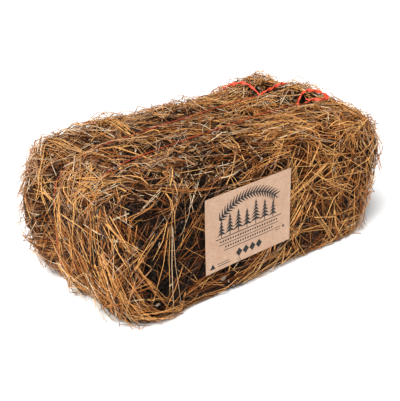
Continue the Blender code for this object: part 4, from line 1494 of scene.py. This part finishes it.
class BALE_OT_studio(bpy.types.Operator):
    """Paper floor, white surround, softbox and camera"""

    bl_idname = "bale.studio"
    bl_label = "Studio"

    def execute(self, context):
        scene = context.scene
        studio = scene.bale_studio
        scene.view_settings.view_transform = "Standard"
        corners = np.array(((-1, -1, 0), (1, -1, 0), (1, 1, 0), (-1, 1, 0)))
        faces = np.array(((0, 1, 2), (0, 2, 3)))
        floor = mesh_object("paper_floor", FLOOR_REACH * corners, faces, paper_sweep(studio))

        world = bpy.data.worlds.new("white_surround")
        world.use_nodes = True
        surround = world.node_tree.nodes["Background"].inputs
        surround[0].default_value = (1, 1, 1, 1)
        surround[1].default_value = studio.sky
        scene.world = world

        light = bpy.data.lights.new("large_softbox", "SUN")
        light.energy, light.angle = studio.softbox, studio.softness
        lamp = bpy.data.objects.new("large_softbox", light)
        lamp.rotation_euler = Vector(studio.softbox_way).to_track_quat("Z", "Y").to_euler()
        scene.collection.objects.link(lamp)

        az, el = studio.azimuth, studio.elevation
        back = Vector((math.sin(az) * math.cos(el), -math.cos(az) * math.cos(el), math.sin(el)))
        right = Vector((math.cos(az), math.sin(az), 0))
        lens = bpy.data.cameras.new("camera")
        lens.sensor_width, lens.lens = 36.0, studio.lens
        camera = bpy.data.objects.new("camera", lens)
        camera.location = Vector(CAMERA_AIM) + back * studio.distance
        camera.location += right * CAMERA_ASIDE[0]
        camera.location += back.cross(right) * CAMERA_ASIDE[1]
        camera.rotation_mode = "QUATERNION"
        camera.rotation_quaternion = back.to_track_quat("Z", "Y")
        scene.collection.objects.link(camera)
        scene.camera = camera
        return {"FINISHED"}


class BALE_OT_core(bpy.types.Operator):
    """The matted mass under the outer needles, dark with painted shade, in place of the plain
    block
    """

    bl_idname = "bale.core"
    bl_label = "Straw core"

    def execute(self, context):
        straw = context.scene.bale_straw
        core = softened_block("straw_core", straw.layer_depth + CORE_DEPTH)
        core.data.polygons.foreach_set("use_smooth", np.ones(len(core.data.polygons), bool))
        core.data.materials.append(duff_in_painted_shade(straw))
        place_piece(core, "pine_straw", "straw_block")
        return {"FINISHED"}


class BALE_OT_needles(bpy.types.Operator):
    """All the needles, in bundles and loose, and the bark caught in them"""

    bl_idname = "bale.needles"
    bl_label = "Needles"

    def execute(self, context):
        grow_needles(context.scene.bale_straw)
        return {"FINISHED"}


class BALE_OT_twines(bpy.types.Operator):
    """The two ties with their knots and loose ends"""

    bl_idname = "bale.twines"
    bl_label = "Twines"

    def execute(self, context):
        tie_twines(context.scene.bale_twine)
        return {"FINISHED"}


class BALE_OT_card(bpy.types.Operator):
    """The kraft card and its plain printed ornament"""

    bl_idname = "bale.card"
    bl_label = "Card"

    def execute(self, context):
        card = context.scene.bale_card
        cut_card(card)
        print_card(card)
        return {"FINISHED"}


OPERATORS = (BALE_OT_studio, BALE_OT_core, BALE_OT_needles, BALE_OT_twines, BALE_OT_card)
SETTINGS = {
    "bale_straw": BaleStrawSettings,
    "bale_twine": BaleTwineSettings,
    "bale_card": BaleCardSettings,
    "bale_studio": BaleStudioSettings,
}


class BALE_PT_panel(bpy.types.Panel):
    """The bale's settings and the steps that make it"""

    bl_idname = "BALE_PT_panel"
    bl_label = "Straw Bale"
    bl_space_type = "VIEW_3D"
    bl_region_type = "UI"
    bl_category = "Straw Bale"

    def draw(self, context):
        for operator in OPERATORS:
            self.layout.operator(operator.bl_idname)
        for name, group in SETTINGS.items():
            box = self.layout.box()
            for setting in group.__annotations__:
                box.prop(getattr(context.scene, name), setting)


def register():
    for kind in (*SETTINGS.values(), *OPERATORS, BALE_PT_panel):
        bpy.utils.register_class(kind)
    for name, group in SETTINGS.items():
        setattr(bpy.types.Scene, name, PointerProperty(type=group))


def unregister():
    for name in SETTINGS:
        delattr(bpy.types.Scene, name)
    for kind in reversed((*SETTINGS.values(), *OPERATORS, BALE_PT_panel)):
        bpy.utils.unregister_class(kind)


def main():
    register()
    bpy.ops.bale.studio()
    bpy.ops.bale.core()
    bpy.ops.bale.needles()
    bpy.ops.bale.twines()
    bpy.ops.bale.card()


if __name__ == "__main__":
    main()
